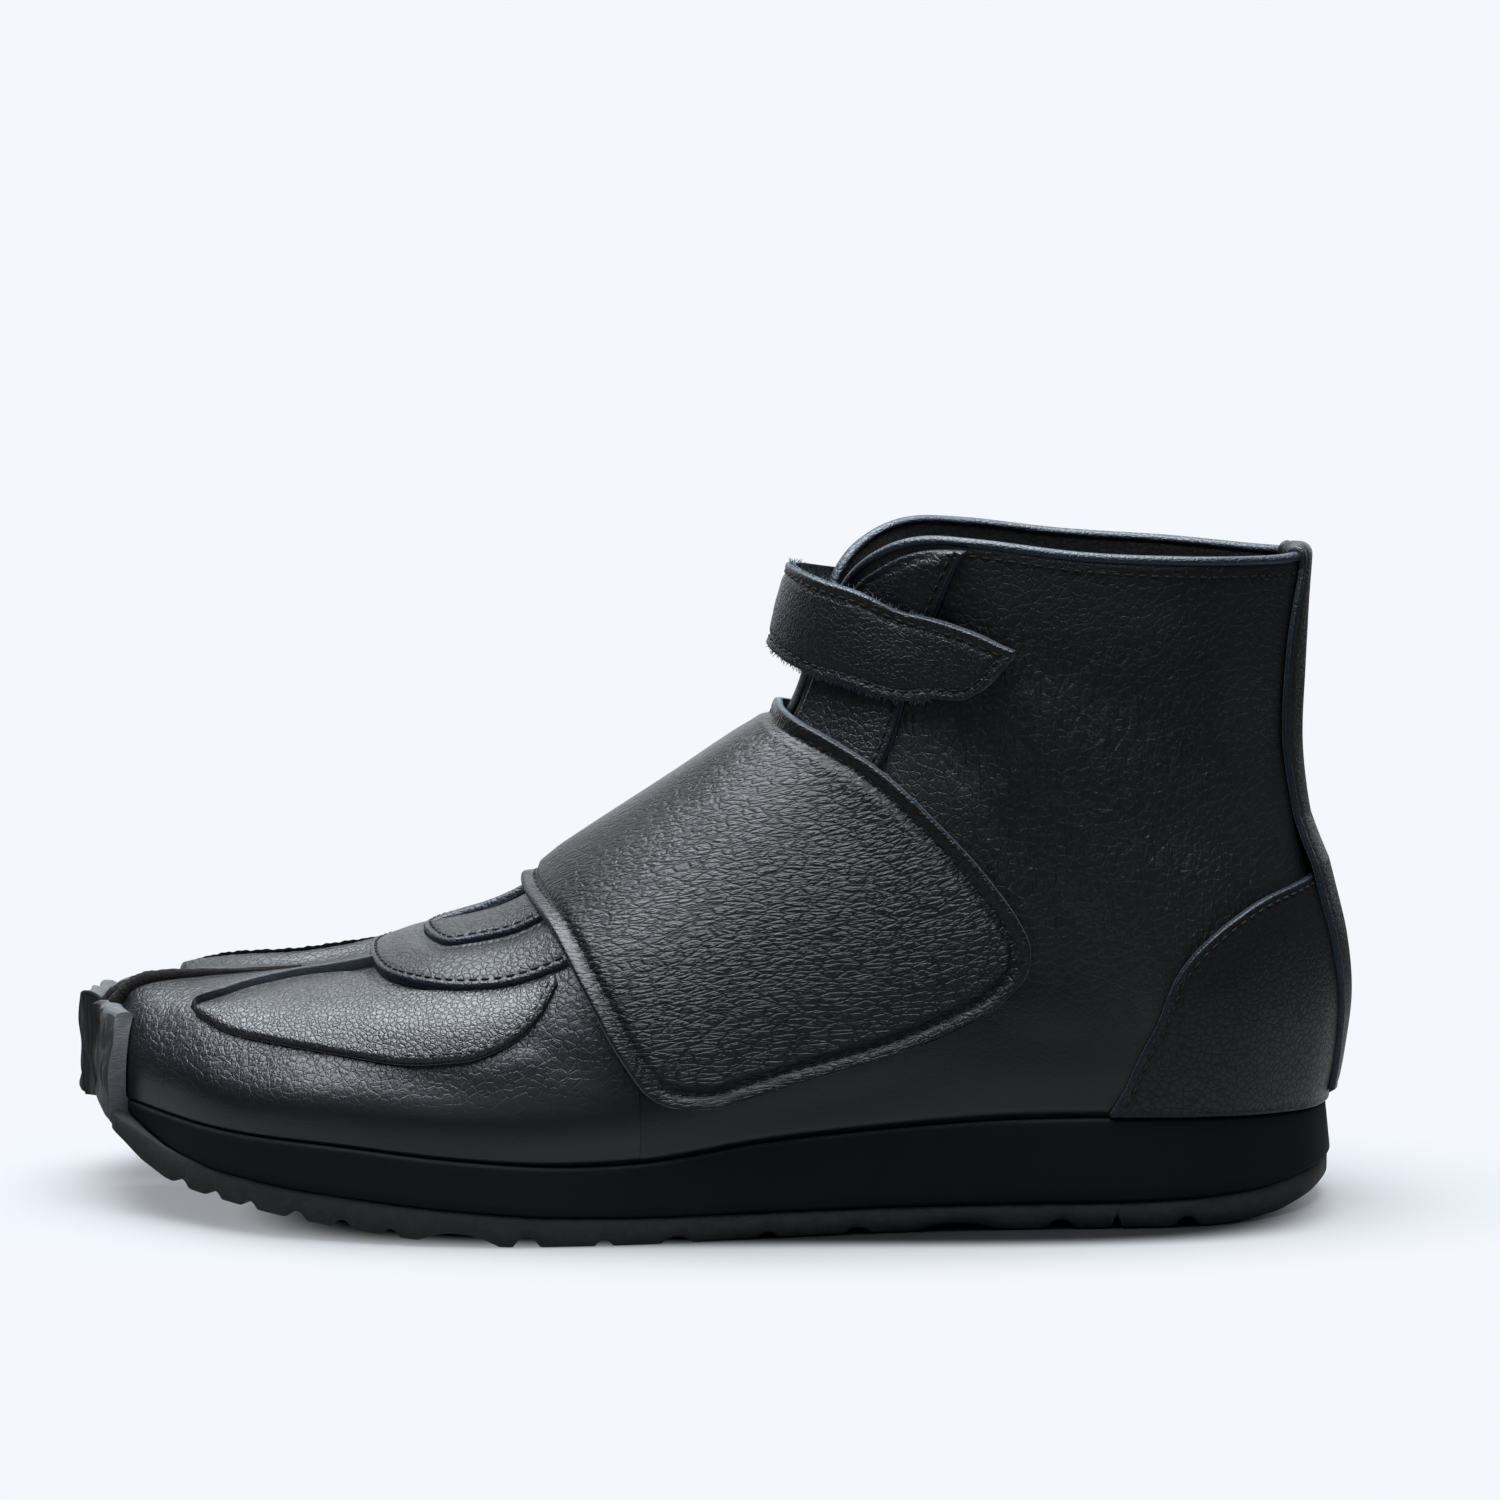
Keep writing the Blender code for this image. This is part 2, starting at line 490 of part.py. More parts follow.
def make_outsole(look):
    """Rubber slab with V-shaped tread notches across it, turned up in front of each lobe as a bumper."""
    notch_x, notch_wide, notch_deep = np.array(TREAD).T
    edges = np.sort(np.concatenate([notch_x - notch_wide / 2, notch_x, notch_x + notch_wide / 2]))
    reach = lambda station, lip: lip + OUTSOLE_EDGE
    back = half(LATERAL_SIDE)[LAST][0] + float(reach(float(LAST), 1.0))
    body_x = body_levels(SOLE_ROOT_X, back, edges[edges > SOLE_ROOT_X + 1.0])
    lobe_x = edges[edges < SOLE_ROOT_X - 1.0]
    grids = []
    for side in (LATERAL_SIDE, MEDIAL_SIDE):
        x, edge_y, inner_y, station = plan_points(side, reach, CLEFT_CLEAR, SOLE_ROOT_X, lobe_x, body_x)
        from_notch = np.abs(x[:, None] - notch_x[None, :])
        notched = np.where(from_notch.min(axis=1) < 0.01, notch_deep[from_notch.argmin(axis=1)], 0.0)
        floor = height(FLOOR_LINE, x)
        top = height(FOAM_LINE, x)
        low_edge = at_height(x, edge_y, floor + notched)
        high_edge = at_height(x, edge_y, top)
        low_inner = at_height(x, inner_y, floor)
        high_inner = at_height(x, inner_y, top)
        rim = np.repeat(high_edge[:, None], 9, axis=1)
        turned_up = station <= BUMPER_END + 0.001
        for k in np.flatnonzero(turned_up):
            foot = skin(side, station[k], 0.0) + GAP * np.array([*plan_normal(side, station[k]), 0.0])
            rim[k] = bumper_profile(side, station[k], np.array([foot[0], foot[1], height(FOAM_LINE, foot[0])]))
        section = np.concatenate([blend(low_inner, low_edge, 3), high_edge[:, None], rim, high_inner[:, None]], axis=1)
        closing = section[:1].copy()
        closing[:, 4:] = high_edge[0]
        grids.append(np.concatenate([closing, section]))
        lobe = x <= SOLE_ROOT_X + 0.01
        grids.append(blend(high_inner, low_inner, 2)[lobe])
    points, faces = joined(grids)
    return solid("outsole", points, faces, look)


def edge_rows(table, count):
    """Rows of an edge table, smoothly filled to a count."""
    rows = np.arange(len(table), dtype=float)
    at = np.linspace(0, len(table) - 1, count)
    return np.stack([spline(rows, [row[i] for row in table], at) for i in range(len(table[0]))], axis=-1)


def panel(side, table, count, across, lift):
    """Grid on one side of the upper between the two edges of a table, raised by a lift for each place across."""
    rows = edge_rows(table, count)
    part = np.linspace(0, 1, across)
    station = rows[:, :1] * (1 - part) + rows[:, 2:3] * part
    girth = rows[:, 1:2] * (1 - part) + rows[:, 3:4] * part
    lifts = np.broadcast_to(np.asarray(lift, float), station.shape)
    return raised(side, station, girth, lifts)


def both_sides(table, count, across, lift):
    """Panel that runs from the medial side through the middle row, which both sides share, to the lateral side."""
    lateral = panel(LATERAL_SIDE, table, count, across, lift)
    medial = panel(MEDIAL_SIDE, table, count, across, lift)
    return lateral, medial


def make_leaf(name, side, look):
    """Leaf-shaped toe panel, thin along its tucked top edge and full along its raw lower edge."""
    across = 7
    thick = np.linspace(LEAF_TOP_THICK, PANEL_THICK, across)
    inner = panel(side, LEAF, 18, across, LIFT)
    outer = panel(side, LEAF, 18, across, LIFT + thick)
    return sheet(name, inner, outer, look)


def make_facing(look):
    """U-shaped panel round the throat, one piece across the toe end."""
    grids = []
    for lift in (LIFT, LIFT + PANEL_THICK):
        lateral, medial = both_sides(FACING, 27, 5, lift)
        middle = (lateral[:1] + medial[:1]) / 2
        grids.append(np.concatenate([medial[:0:-1], middle, lateral[1:]]))
    return sheet("facing", grids[0], grids[1], look)


def make_counter(look):
    """Heel counter panel, round the heel from one side to the other."""
    grids = []
    for lift in (LIFT, LIFT + PANEL_THICK):
        lateral, medial = both_sides(COUNTER, 15, 5, lift)
        middle = (lateral[-1:] + medial[-1:]) / 2
        grids.append(np.concatenate([lateral[:-1], middle, medial[-2::-1]]))
    return sheet("heel_counter", grids[0], grids[1], look)


def make_backstay(look):
    """Strip up the back of the heel, over the counter and then down onto the shaft."""
    girth = np.linspace(BACKSTAY[0][0], BACKSTAY[-1][0], 19)
    edge = along(BACKSTAY, girth)
    part = np.linspace(0, 1, 4)
    station = edge[:, None] * (1 - part) + LAST * part
    lift = np.interp(girth, [0.45, 0.52], [BACKSTAY_LIFT, LIFT])[:, None]
    grids = []
    for extra in (0.0, PANEL_THICK):
        lifts = np.broadcast_to(lift + extra, station.shape)
        lateral = raised(LATERAL_SIDE, station, girth[:, None], lifts)
        medial = raised(MEDIAL_SIDE, station, girth[:, None], lifts)
        middle = (lateral[:, -1:] + medial[:, -1:]) / 2
        grids.append(np.concatenate([lateral[:, :-1], middle, medial[:, -2::-1]], axis=1))
    return sheet("backstay", grids[0], grids[1], look)


def make_instep_strap(look):
    """Wide strap over the throat, lying on the facing at both sides and bridging the gap between."""
    across = 9
    grids = []
    for lift in (STRAP_LIFT, STRAP_LIFT + STRAP_THICK):
        lateral = panel(LATERAL_SIDE, STRAP_LATERAL, 13, across, lift)
        medial = panel(MEDIAL_SIDE, STRAP_MEDIAL, 9, across, lift)
        part = np.array([0.25, 0.5, 0.75])[:, None, None]
        bridge = lateral[-1:] * (1 - part) + medial[:1] * part
        bridge[:, :, 2] += STRAP_CROWN * np.sin(np.pi * part[:, :, 0])
        grids.append(np.concatenate([lateral, bridge, medial]))
    return sheet("instep_strap", grids[0], grids[1], look)


def make_ankle_strap(look):
    """Narrow strap from the medial side, round a loose loop ahead of the throat, to its lateral end."""
    lateral = panel(LATERAL_SIDE, ANKLE_LATERAL, len(ANKLE_LATERAL), 2, ANKLE_LIFT)
    medial = panel(MEDIAL_SIDE, ANKLE_MEDIAL, len(ANKLE_MEDIAL), 2, ANKLE_LIFT)
    loop = np.array(ANKLE_LOOP).reshape(-1, 2, 3)
    edges = np.concatenate([lateral, loop, medial])
    steps = np.concatenate([[0.0], np.cumsum(np.linalg.norm(np.diff(edges.mean(axis=1), axis=0), axis=1))])
    at = np.linspace(0, steps[-1], 34)
    smooth = np.stack([[spline(steps, edges[:, e, c], at) for c in range(3)] for e in range(2)])
    top = smooth[0].T
    bottom = smooth[1].T
    part = np.linspace(0, 1, 4)[None, :, None]
    middle = top[:, None] * (1 - part) + bottom[:, None] * part
    forward = np.gradient(middle, axis=0)
    down = np.gradient(middle, axis=1)
    normal = np.cross(down, forward)
    normal /= np.linalg.norm(normal, axis=-1, keepdims=True)
    return sheet("ankle_strap", middle - normal * ANKLE_THICK / 2, middle + normal * ANKLE_THICK / 2, look)


def main():
    for old in list(bpy.data.objects):
        bpy.data.objects.remove(old, do_unlink=True)
    make_outsole(material("outsole_rubber", RUBBER_COLOUR, 0.7))
    middle = np.linspace(-84.0, 112.0, 15)
    make_layer("midsole", material("midsole_foam", FOAM_COLOUR, 0.8), midsole_reach, MIDSOLE_FLARE, CLEFT_CLEAR,
               SOLE_ROOT_X, lambda x: height(FOAM_LINE, x) + GAP, lambda x: along(FEATHER_LINE, x), middle)
    make_layer("insole", material("insole_lining", LINING_COLOUR, 0.9), lambda station, lip: -INSOLE_INSET, 0.0,
               WALL + 1.6, SOLE_ROOT_X + 12.0, lambda x: along(FEATHER_LINE, x) + GAP,
               lambda x: along(FEATHER_LINE, x) + GAP + INSOLE_THICK, middle)
    make_upper(material("upper_leather", LEATHER_COLOUR, 0.45))
    make_leaf("leaf_panel_lateral", LATERAL_SIDE, material("lateral_leaf_leather", LEATHER_COLOUR, 0.45))
    make_leaf("leaf_panel_medial", MEDIAL_SIDE, material("medial_leaf_leather", LEATHER_COLOUR, 0.45))
    make_facing(material("facing_leather", LEATHER_COLOUR, 0.45))
    make_counter(material("counter_leather", LEATHER_COLOUR, 0.4))
    make_backstay(material("backstay_leather", LEATHER_COLOUR, 0.45))
    make_instep_strap(material("instep_strap_leather", STRAP_COLOUR, 0.42))
    make_ankle_strap(material("ankle_strap_leather", STRAP_COLOUR, 0.42))


main()
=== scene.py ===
"""Looks of the left tabi sneaker: black grained leather on a runner sole, closed by two straps.

Lengths in the tables are millimetres, as in the part's source. X runs from the toe (-) to the heel (+),
the outer side of the foot is -Y and Z is up from the floor.
"""

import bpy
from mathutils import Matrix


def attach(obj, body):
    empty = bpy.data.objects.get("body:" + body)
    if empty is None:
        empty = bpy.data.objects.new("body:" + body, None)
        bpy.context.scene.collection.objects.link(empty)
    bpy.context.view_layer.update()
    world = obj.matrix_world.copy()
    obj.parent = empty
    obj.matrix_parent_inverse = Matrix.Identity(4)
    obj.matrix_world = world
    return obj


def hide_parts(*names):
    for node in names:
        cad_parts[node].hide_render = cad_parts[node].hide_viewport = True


bl_info = {
    "name": "Tabi sneaker looks",
    "version": (1, 0, 0),
    "blender": (4, 5, 0),
    "location": "View3D > Sidebar > Tabi",
    "description": "Builds the leather, straps, sole and stage of a split-toe sneaker round its packed frame",
    "category": "Object",
}

import bmesh
import bpy
import numpy as np

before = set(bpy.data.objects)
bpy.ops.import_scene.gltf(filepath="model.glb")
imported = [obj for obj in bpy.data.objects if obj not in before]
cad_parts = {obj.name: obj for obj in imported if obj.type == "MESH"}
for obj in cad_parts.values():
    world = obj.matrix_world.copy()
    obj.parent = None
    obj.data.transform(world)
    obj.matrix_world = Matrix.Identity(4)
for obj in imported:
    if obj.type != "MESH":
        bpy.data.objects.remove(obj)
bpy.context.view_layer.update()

# Sizes in millimetres, and stations, which are row numbers of the section tables. A place in the tables
# less the origin is the placed one.
MM = 0.001
WALL = 1.8
GAP = 0.35
LIFT = 0.5
ORIGIN_X = 0.73
ORIGIN_Y = -0.63
LATERAL_SIDE = -1
MEDIAL_SIDE = 1
SIDES = (LATERAL_SIDE, MEDIAL_SIDE)
ROOT_STATION = 5
THROAT_STATION = 7
SOLE_ROOT_X = -96.0
CENTRE_Y_AT_ROOT = 7.0
BUMPER_TOP = 43.5
BUMPER_THICK = 4.4
BUMPER_END = 1.9
MIDSOLE_FLARE = 1.2
OUTSOLE_EDGE = 0.6
STRAP_CROWN = 1.5
ANKLE_LIFT = 3.3
ANKLE_THICK = 2.2
INSOLE_THICK = 3.0
INSOLE_INSET = 4.0
CLEFT_CLEAR = 0.6
CLEFT_END = 1.5
HEEL_TURN_X = 118.0
THROAT_EDGE = 1.9
GROOVE_WIDTH = 0.7
SEAM_INSET = 1.8
LEAF_SEAM = 1.6
STRIP_BAND = 8.0
STRAP_BASE = 2.7
STRAP_SEAM = 3.8
ANKLE_SEAM = 2.6
STRAP_GROOVE = 1.3
ANKLE_GROOVE = 0.40
COLLAR_START = 12.4
COLLAR_SEAM = 2.6
VAMP_SEAM = 2.5
BACKSTAY_FOLD = 9.0
BUMPER_RIB = 0.45
BUMPER_RIB_PITCH = 3.2
# Lift of each panel's underside over the skin.
LEAF_BASE = 0.2
FACING_BASE = 0.3
THROAT_BASE = 0.9
COUNTER_BASE = 0.2
# Row of the leaf's edge table from which its stitches show, and row of the counter's up to which they do.
LEAF_SEAM_START = 5.6
COUNTER_SEAM_END = 8.0
# Grids: steps along the toe strip and half the collar, rows of the backstay's three parts and of the
# instep strap's three, and both straps' points along and across.
STRIP_STEPS = 140
COLLAR_STEPS = 190
BACKSTAY_ROWS = 150
FOLD_ROWS = 16
INNER_ROWS = 14
STRAP_LATERAL_ROWS = 110
BRIDGE_ROWS = 20
STRAP_MEDIAL_ROWS = 70
STRAP_SHAPE = (STRAP_LATERAL_ROWS + BRIDGE_ROWS + STRAP_MEDIAL_ROWS, 92)
ANKLE_SHAPE = (230, 34)
# Rows of the instep strap over which its eased corners and its rubbed crest come and go, half the width
# in rows of the running mean, and its troughs (row, half width in rows, height).
STRAP_EASED = (88, 102, 138, 152)
STRAP_CREST = (90, 102, 132, 146)
BRIDGE_EASE = 7
STRAP_TROUGHS = ((88, 8.0, -0.9), (52, 12.0, -0.5))
# Metres within which the mesh's points are welded, and what is added to a length that may be zero.
WELD = 2e-6
TINY = 1e-9
# Finishes: the leather's coat, the sheen of cut edges and naps, and the shaft's wrinkles, longest upwards.
COAT_ROUGHNESS = 0.38
SHEEN_ROUGHNESS = 0.6
WRINKLE_STRETCH = (0.0024, 0.0024, 0.0095)
WRINKLE_TURN = 0.15
# How far the leather settles at its top edge under the laid-on panels, by station.
SETTLE = (
    (0.0, 0.3), (1.5, 1.0), (3.0, 1.8), (4.0, 2.0), (5.0, 1.4), (6.0, 2.4), (6.8, 3.3), (9.0, 3.6),
    (10.5, 3.1), (12.2, 0.8), (13.5, 0.6), (15.0, 1.4), (17.0, 1.2), (18.5, 0.5), (30.0, 0.0),
)
# Half the floor's width in metres.
FLOOR_HALF = 6.0
# Half sizes in metres of the oval on the floor inside which the shoe's shadow shows.
SHADOW_LONG = 0.17
SHADOW_WIDE = 0.062
# Middle and half sizes in metres of the rounded box of deep shade under the sole.
UNDER_X = 0.018
UNDER_LONG = 0.128
UNDER_WIDE = 0.052
# Number of loose fibres on the ankle strap.
FIBRES = 420
# Camera: lens in millimetres, raw place, and degrees below level.
CAMERA_LENS = 90.0
CAMERA_PLACE = (10.0, -850.0, 224.4)
CAMERA_PITCH = 8.12
# Lights in metres and watts; one that only reflects puts a soft gloss on the faces turned to it.
LIGHT_COLUMNS = ("name", "wide", "deep", "watts", "tint", "place", "turn", "only_reflects")
LIGHTS = (
    ("overhead", 1.40, 1.25, 30.0, (0.93, 0.97, 1.0), (-0.10, 0.25, 1.25), (0.0, 0.0, 0.0), False),
    ("gloss", 1.50, 1.70, 100.0, (0.88, 0.94, 1.0), (-0.10, 0.00, 1.24), (0.0, 0.0, 0.0), True),
    ("wall", 4.00, 1.10, 20.0, (0.92, 0.96, 1.0), (0.00, 2.00, 0.56), (-90.0, 0.0, 0.0), True),
    ("front", 4.00, 0.90, 6.0, (0.90, 0.95, 1.0), (0.00, -2.40, 1.00), (90.0, 0.0, 0.0), True),
)

# One row for each section of half the upper: foot on the sole's edge, sole lip, top edge, and section shape.
SECTION_COLUMNS = ("foot_x", "foot_y", "lip", "top_x", "top_y", "top_z", "round", "belly", "heel")
LATERAL = (
    (-137.5, 3.8, 4.4, -137.5, 3.8, 42.5, 0.00, 0.0, 0.0),
    (-135.0, -5.0, 4.4, -133.0, 4.0, 47.4, 1.00, 0.0, 0.0),
    (-131.6, -14.0, 4.0, -127.0, 4.3, 49.9, 1.00, 0.3, 0.0),
    (-122.0, -24.0, 2.5, -115.0, 4.8, 51.6, 1.00, 0.8, 0.0),
    (-110.0, -33.5, 1.2, -104.0, 5.5, 52.6, 1.00, 1.2, 0.0),
    (-95.0, -41.0, 1.0, -93.0, 7.0, 53.0, 1.00, 1.5, 0.0),
    (-76.0, -46.0, 1.0, -78.0, 6.5, 57.0, 1.00, 1.5, 0.0),
    (-56.0, -49.0, 1.0, -62.5, 4.2, 63.8, 1.00, 1.5, 0.0),
    (-36.0, -49.5, 1.0, -44.0, -1.5, 70.3, 0.95, 2.0, 0.0),
    (-12.0, -47.0, 1.0, -20.0, -7.5, 85.5, 0.90, 3.0, 0.0),
    (15.0, -41.8, 1.0, 2.0, -10.5, 100.5, 0.85, 4.0, 0.0),
    (42.0, -37.3, 1.0, 18.0, -12.0, 112.5, 0.80, 5.0, 0.0),
    (62.0, -35.3, 1.0, 25.0, -13.8, 128.0, 0.75, 5.0, 0.0),
    (76.0, -34.4, 1.0, 31.0, -17.5, 143.0, 0.65, 4.5, 0.0),
    (86.0, -34.0, 1.0, 38.0, -23.0, 150.6, 0.50, 4.0, 0.0),
    (94.0, -33.7, 1.0, 47.0, -28.2, 154.7, 0.35, 4.0, 0.0),
    (101.0, -33.2, 1.0, 60.0, -32.2, 154.4, 0.20, 3.5, 0.1),
    (110.0, -32.0, 1.0, 83.0, -34.0, 151.5, 0.10, 3.0, 0.3),
    (122.0, -27.5, 1.0, 108.0, -30.0, 149.7, 0.00, 2.5, 0.6),
    (134.0, -18.5, 1.0, 127.0, -17.5, 148.4, 0.00, 1.0, 0.9),
    (140.0, -9.5, 1.0, 134.8, -8.5, 148.2, 0.00, 0.5, 1.0),
    (142.3, 0.0, 1.0, 137.2, 0.0, 148.3, 0.00, 0.0, 1.0),
)
MEDIAL = (
    (-141.5, 8.4, 5.0, -141.5, 8.4, 41.5, 0.00, 0.0, 0.0),
    (-141.3, 17.0, 5.0, -138.5, 8.2, 47.0, 1.00, 0.0, 0.0),
    (-139.0, 26.0, 4.5, -133.0, 8.0, 49.8, 1.00, 0.3, 0.0),
    (-133.0, 33.5, 2.5, -122.0, 7.8, 51.2, 1.00, 0.8, 0.0),
    (-120.0, 40.5, 1.2, -107.0, 7.5, 52.5, 1.00, 1.2, 0.0),
    (-99.0, 45.8, 1.0, -93.0, 7.0, 53.0, 1.00, 1.5, 0.0),
    (-78.0, 48.0, 1.0, -78.0, 6.5, 57.0, 1.00, 1.5, 0.0),
    (-58.0, 48.3, 1.0, -62.5, 4.2, 63.8, 1.00, 1.5, 0.0),
    (-37.0, 46.0, 1.0, -44.0, 6.2, 70.8, 0.95, 2.0, 0.0),
    (-12.0, 40.0, 1.0, -20.0, 8.5, 86.0, 0.90, 3.0, 0.0),
    (15.0, 34.5, 1.0, 2.0, 10.3, 100.5, 0.85, 4.0, 0.0),
    (42.0, 32.3, 1.0, 17.5, 11.6, 112.5, 0.80, 5.0, 0.0),
    (62.0, 32.0, 1.0, 24.3, 13.2, 128.0, 0.75, 5.0, 0.0),
    (76.0, 32.2, 1.0, 30.0, 16.5, 143.0, 0.65, 4.5, 0.0),
    (86.0, 32.5, 1.0, 37.0, 22.0, 150.6, 0.50, 4.0, 0.0),
    (94.0, 32.5, 1.0, 46.5, 27.5, 154.7, 0.35, 4.0, 0.0),
    (101.0, 32.2, 1.0, 60.0, 31.5, 154.4, 0.20, 3.5, 0.1),
    (110.0, 31.0, 1.0, 83.0, 33.5, 151.5, 0.10, 3.0, 0.3),
    (122.0, 26.5, 1.0, 108.0, 30.0, 149.7, 0.00, 2.5, 0.6),
    (134.0, 18.0, 1.0, 127.0, 17.5, 148.4, 0.00, 1.0, 0.9),
    (140.0, 9.5, 1.0, 134.8, 8.5, 148.2, 0.00, 0.5, 1.0),
    (142.3, 0.0, 1.0, 137.2, 0.0, 148.3, 0.00, 0.0, 1.0),
)
LAST = len(LATERAL) - 1

# Heights along the shoe (x, z): where the upper meets the sole, where foam meets rubber, and the tread.
FEATHER_LINE = (
    (-148.0, 25.6), (-130.0, 24.4), (-110.0, 22.6), (-83.0, 21.3), (-53.0, 18.8), (-30.0, 17.6),
    (-14.0, 18.0), (12.0, 21.3), (42.0, 23.5), (65.0, 24.7), (90.0, 25.0), (115.0, 24.6), (148.0, 22.0),
)
FOAM_LINE = (
    (-148.0, 23.4), (-137.0, 22.6), (-130.0, 20.3), (-122.0, 16.9), (-110.0, 13.7), (-91.0, 11.2),
    (-60.0, 8.3), (-36.0, 6.6), (-14.0, 6.0), (12.0, 5.8), (46.0, 5.7), (93.0, 5.8), (111.0, 6.4),
    (126.0, 7.2), (136.0, 8.8), (148.0, 10.4),
)
FLOOR_LINE = (
    (-148.0, 20.6), (-141.0, 19.8), (-137.0, 19.0), (-132.5, 16.2), (-128.0, 12.8), (-122.0, 9.7),
    (-115.0, 8.0), (-95.0, 5.1), (-75.0, 2.6), (-60.0, 0.9), (-48.0, 0.0), (-20.0, 0.0), (60.0, 0.0),
    (118.0, 0.0), (130.0, 1.2), (138.0, 3.4), (148.0, 6.8),
)
# Notches of the tread from toe to heel (x, width, depth), deepest at both edges of the sole.
TREAD = (
    (-118.0, 4.0, 1.5), (-110.0, 4.0, 1.6), (-101.5, 4.0, 1.6), (-90.5, 5.0, 1.8), (-80.0, 5.0, 1.8),
    (-69.0, 4.0, 1.6), (-54.0, 18.0, 2.4), (-39.0, 6.0, 2.2), (-22.0, 4.0, 1.2), (-6.0, 7.0, 1.4),
    (14.0, 5.0, 1.2), (34.0, 6.0, 1.4), (56.0, 18.0, 1.6), (79.5, 7.0, 2.0), (92.0, 2.4, 2.6),
    (108.0, 6.0, 2.2),
)
# Outward swell of the heel up the back seam (girth, swell).
HEEL_SWELL = (
    (0.0, 0.0), (0.1, 2.4), (0.2, 4.0), (0.3, 3.2), (0.4, 0.6), (0.5, -2.2), (0.65, -4.3), (0.8, -3.3),
    (1.0, -1.2),
)

# Edges of the panels on the upper: station and girth of one edge, then of the other, a row for each step
# along.
LEAF = (
    (3.40, 0.622, 3.40, 0.550), (3.80, 0.692, 3.75, 0.505), (4.25, 0.777, 4.15, 0.462),
    (4.88, 0.840, 5.00, 0.425), (5.45, 0.845, 5.80, 0.365), (5.93, 0.800, 6.30, 0.325),
    (6.18, 0.695, 6.65, 0.307), (6.52, 0.615, 7.00, 0.303), (7.03, 0.568, 7.35, 0.310),
    (7.53, 0.550, 7.76, 0.350), (7.99, 0.550, 8.06, 0.405), (8.25, 0.552, 8.27, 0.490),
)
FACING = (
    (6.00, 1.000, 6.85, 1.000), (6.06, 0.880, 6.87, 0.950), (6.25, 0.740, 6.92, 0.890),
    (6.55, 0.645, 7.00, 0.835), (7.03, 0.562, 7.15, 0.785), (7.53, 0.537, 7.55, 0.777),
    (8.05, 0.535, 8.10, 0.770), (8.60, 0.540, 8.70, 0.800), (9.60, 0.560, 9.60, 0.880),
    (10.6, 0.600, 10.6, 0.955), (11.65, 0.652, 11.4, 0.972), (12.43, 0.710, 12.3, 0.972),
    (13.4, 0.770, 13.2, 0.972), (14.33, 0.828, 13.8, 0.970), (15.0, 0.890, 14.6, 0.975),
    (15.82, 0.985, 15.70, 0.985),
)
COUNTER = (
    (14.52, 0.005, 14.50, 0.000), (15.40, 0.062, 15.30, 0.000), (16.40, 0.147, 16.00, 0.000),
    (17.00, 0.247, 16.80, 0.000), (17.75, 0.345, 17.70, 0.000), (18.30, 0.390, 18.50, 0.000),
    (18.90, 0.412, 19.10, 0.000), (19.60, 0.425, 19.70, 0.000), (20.30, 0.430, 20.30, 0.000),
    (21.00, 0.432, 21.00, 0.000),
)
# Edge of the backstay up the heel (girth, station).
BACKSTAY = (
    (0.020, 20.15), (0.100, 20.05), (0.170, 19.92), (0.300, 19.68), (0.410, 19.55), (0.480, 19.50),
    (0.560, 19.45), (0.680, 19.32), (0.800, 19.38), (0.900, 19.60), (0.980, 19.95),
)
# Instep strap from its rounded lateral end over the throat to its sewn medial end: front edge, then rear
# edge.
STRAP_LATERAL = (
    (9.55, 0.092, 12.30, 0.172), (9.20, 0.113, 12.92, 0.206), (8.98, 0.150, 13.15, 0.245),
    (8.83, 0.208, 13.02, 0.290), (8.65, 0.310, 12.60, 0.370), (8.45, 0.480, 12.05, 0.500),
    (8.30, 0.680, 11.60, 0.670), (8.20, 0.850, 11.30, 0.830), (8.15, 1.000, 11.15, 1.000),
)
STRAP_MEDIAL = (
    (8.15, 1.000, 11.15, 1.000), (8.20, 0.850, 11.30, 0.850), (8.35, 0.680, 11.60, 0.680),
    (8.55, 0.500, 11.90, 0.500), (8.80, 0.320, 12.20, 0.360), (9.00, 0.220, 12.30, 0.260),
)
# Ankle strap: where it lies on the shaft (top edge, bottom edge).
ANKLE_LATERAL = (
    (15.88, 0.785, 15.75, 0.765), (15.70, 0.788, 15.10, 0.705), (15.30, 0.797, 14.40, 0.665),
    (14.70, 0.812, 13.70, 0.648), (14.18, 0.830, 13.00, 0.665), (13.75, 0.850, 12.50, 0.705),
)
ANKLE_MEDIAL = (
    (13.75, 0.850, 12.50, 0.705), (14.25, 0.826, 13.10, 0.662), (14.80, 0.808, 13.80, 0.646),
    (15.20, 0.800, 14.30, 0.655),
)
# Its loop ahead of the throat: x, y and z of its top edge, then of its bottom edge.
ANKLE_LOOP = (
    (33.5, -26.0, 142.2, 31.0, -26.0, 121.6), (26.5, -19.5, 143.9, 24.0, -19.0, 122.8),
    (21.5, -10.5, 145.3, 17.8, -10.0, 125.2), (19.3, 0.5, 146.0, 14.6, 0.5, 127.3),
    (21.0, 11.0, 145.3, 17.5, 10.5, 125.2), (26.0, 19.0, 143.9, 23.5, 18.5, 122.8),
    (33.0, 25.5, 142.2, 30.5, 25.5, 121.6),
)


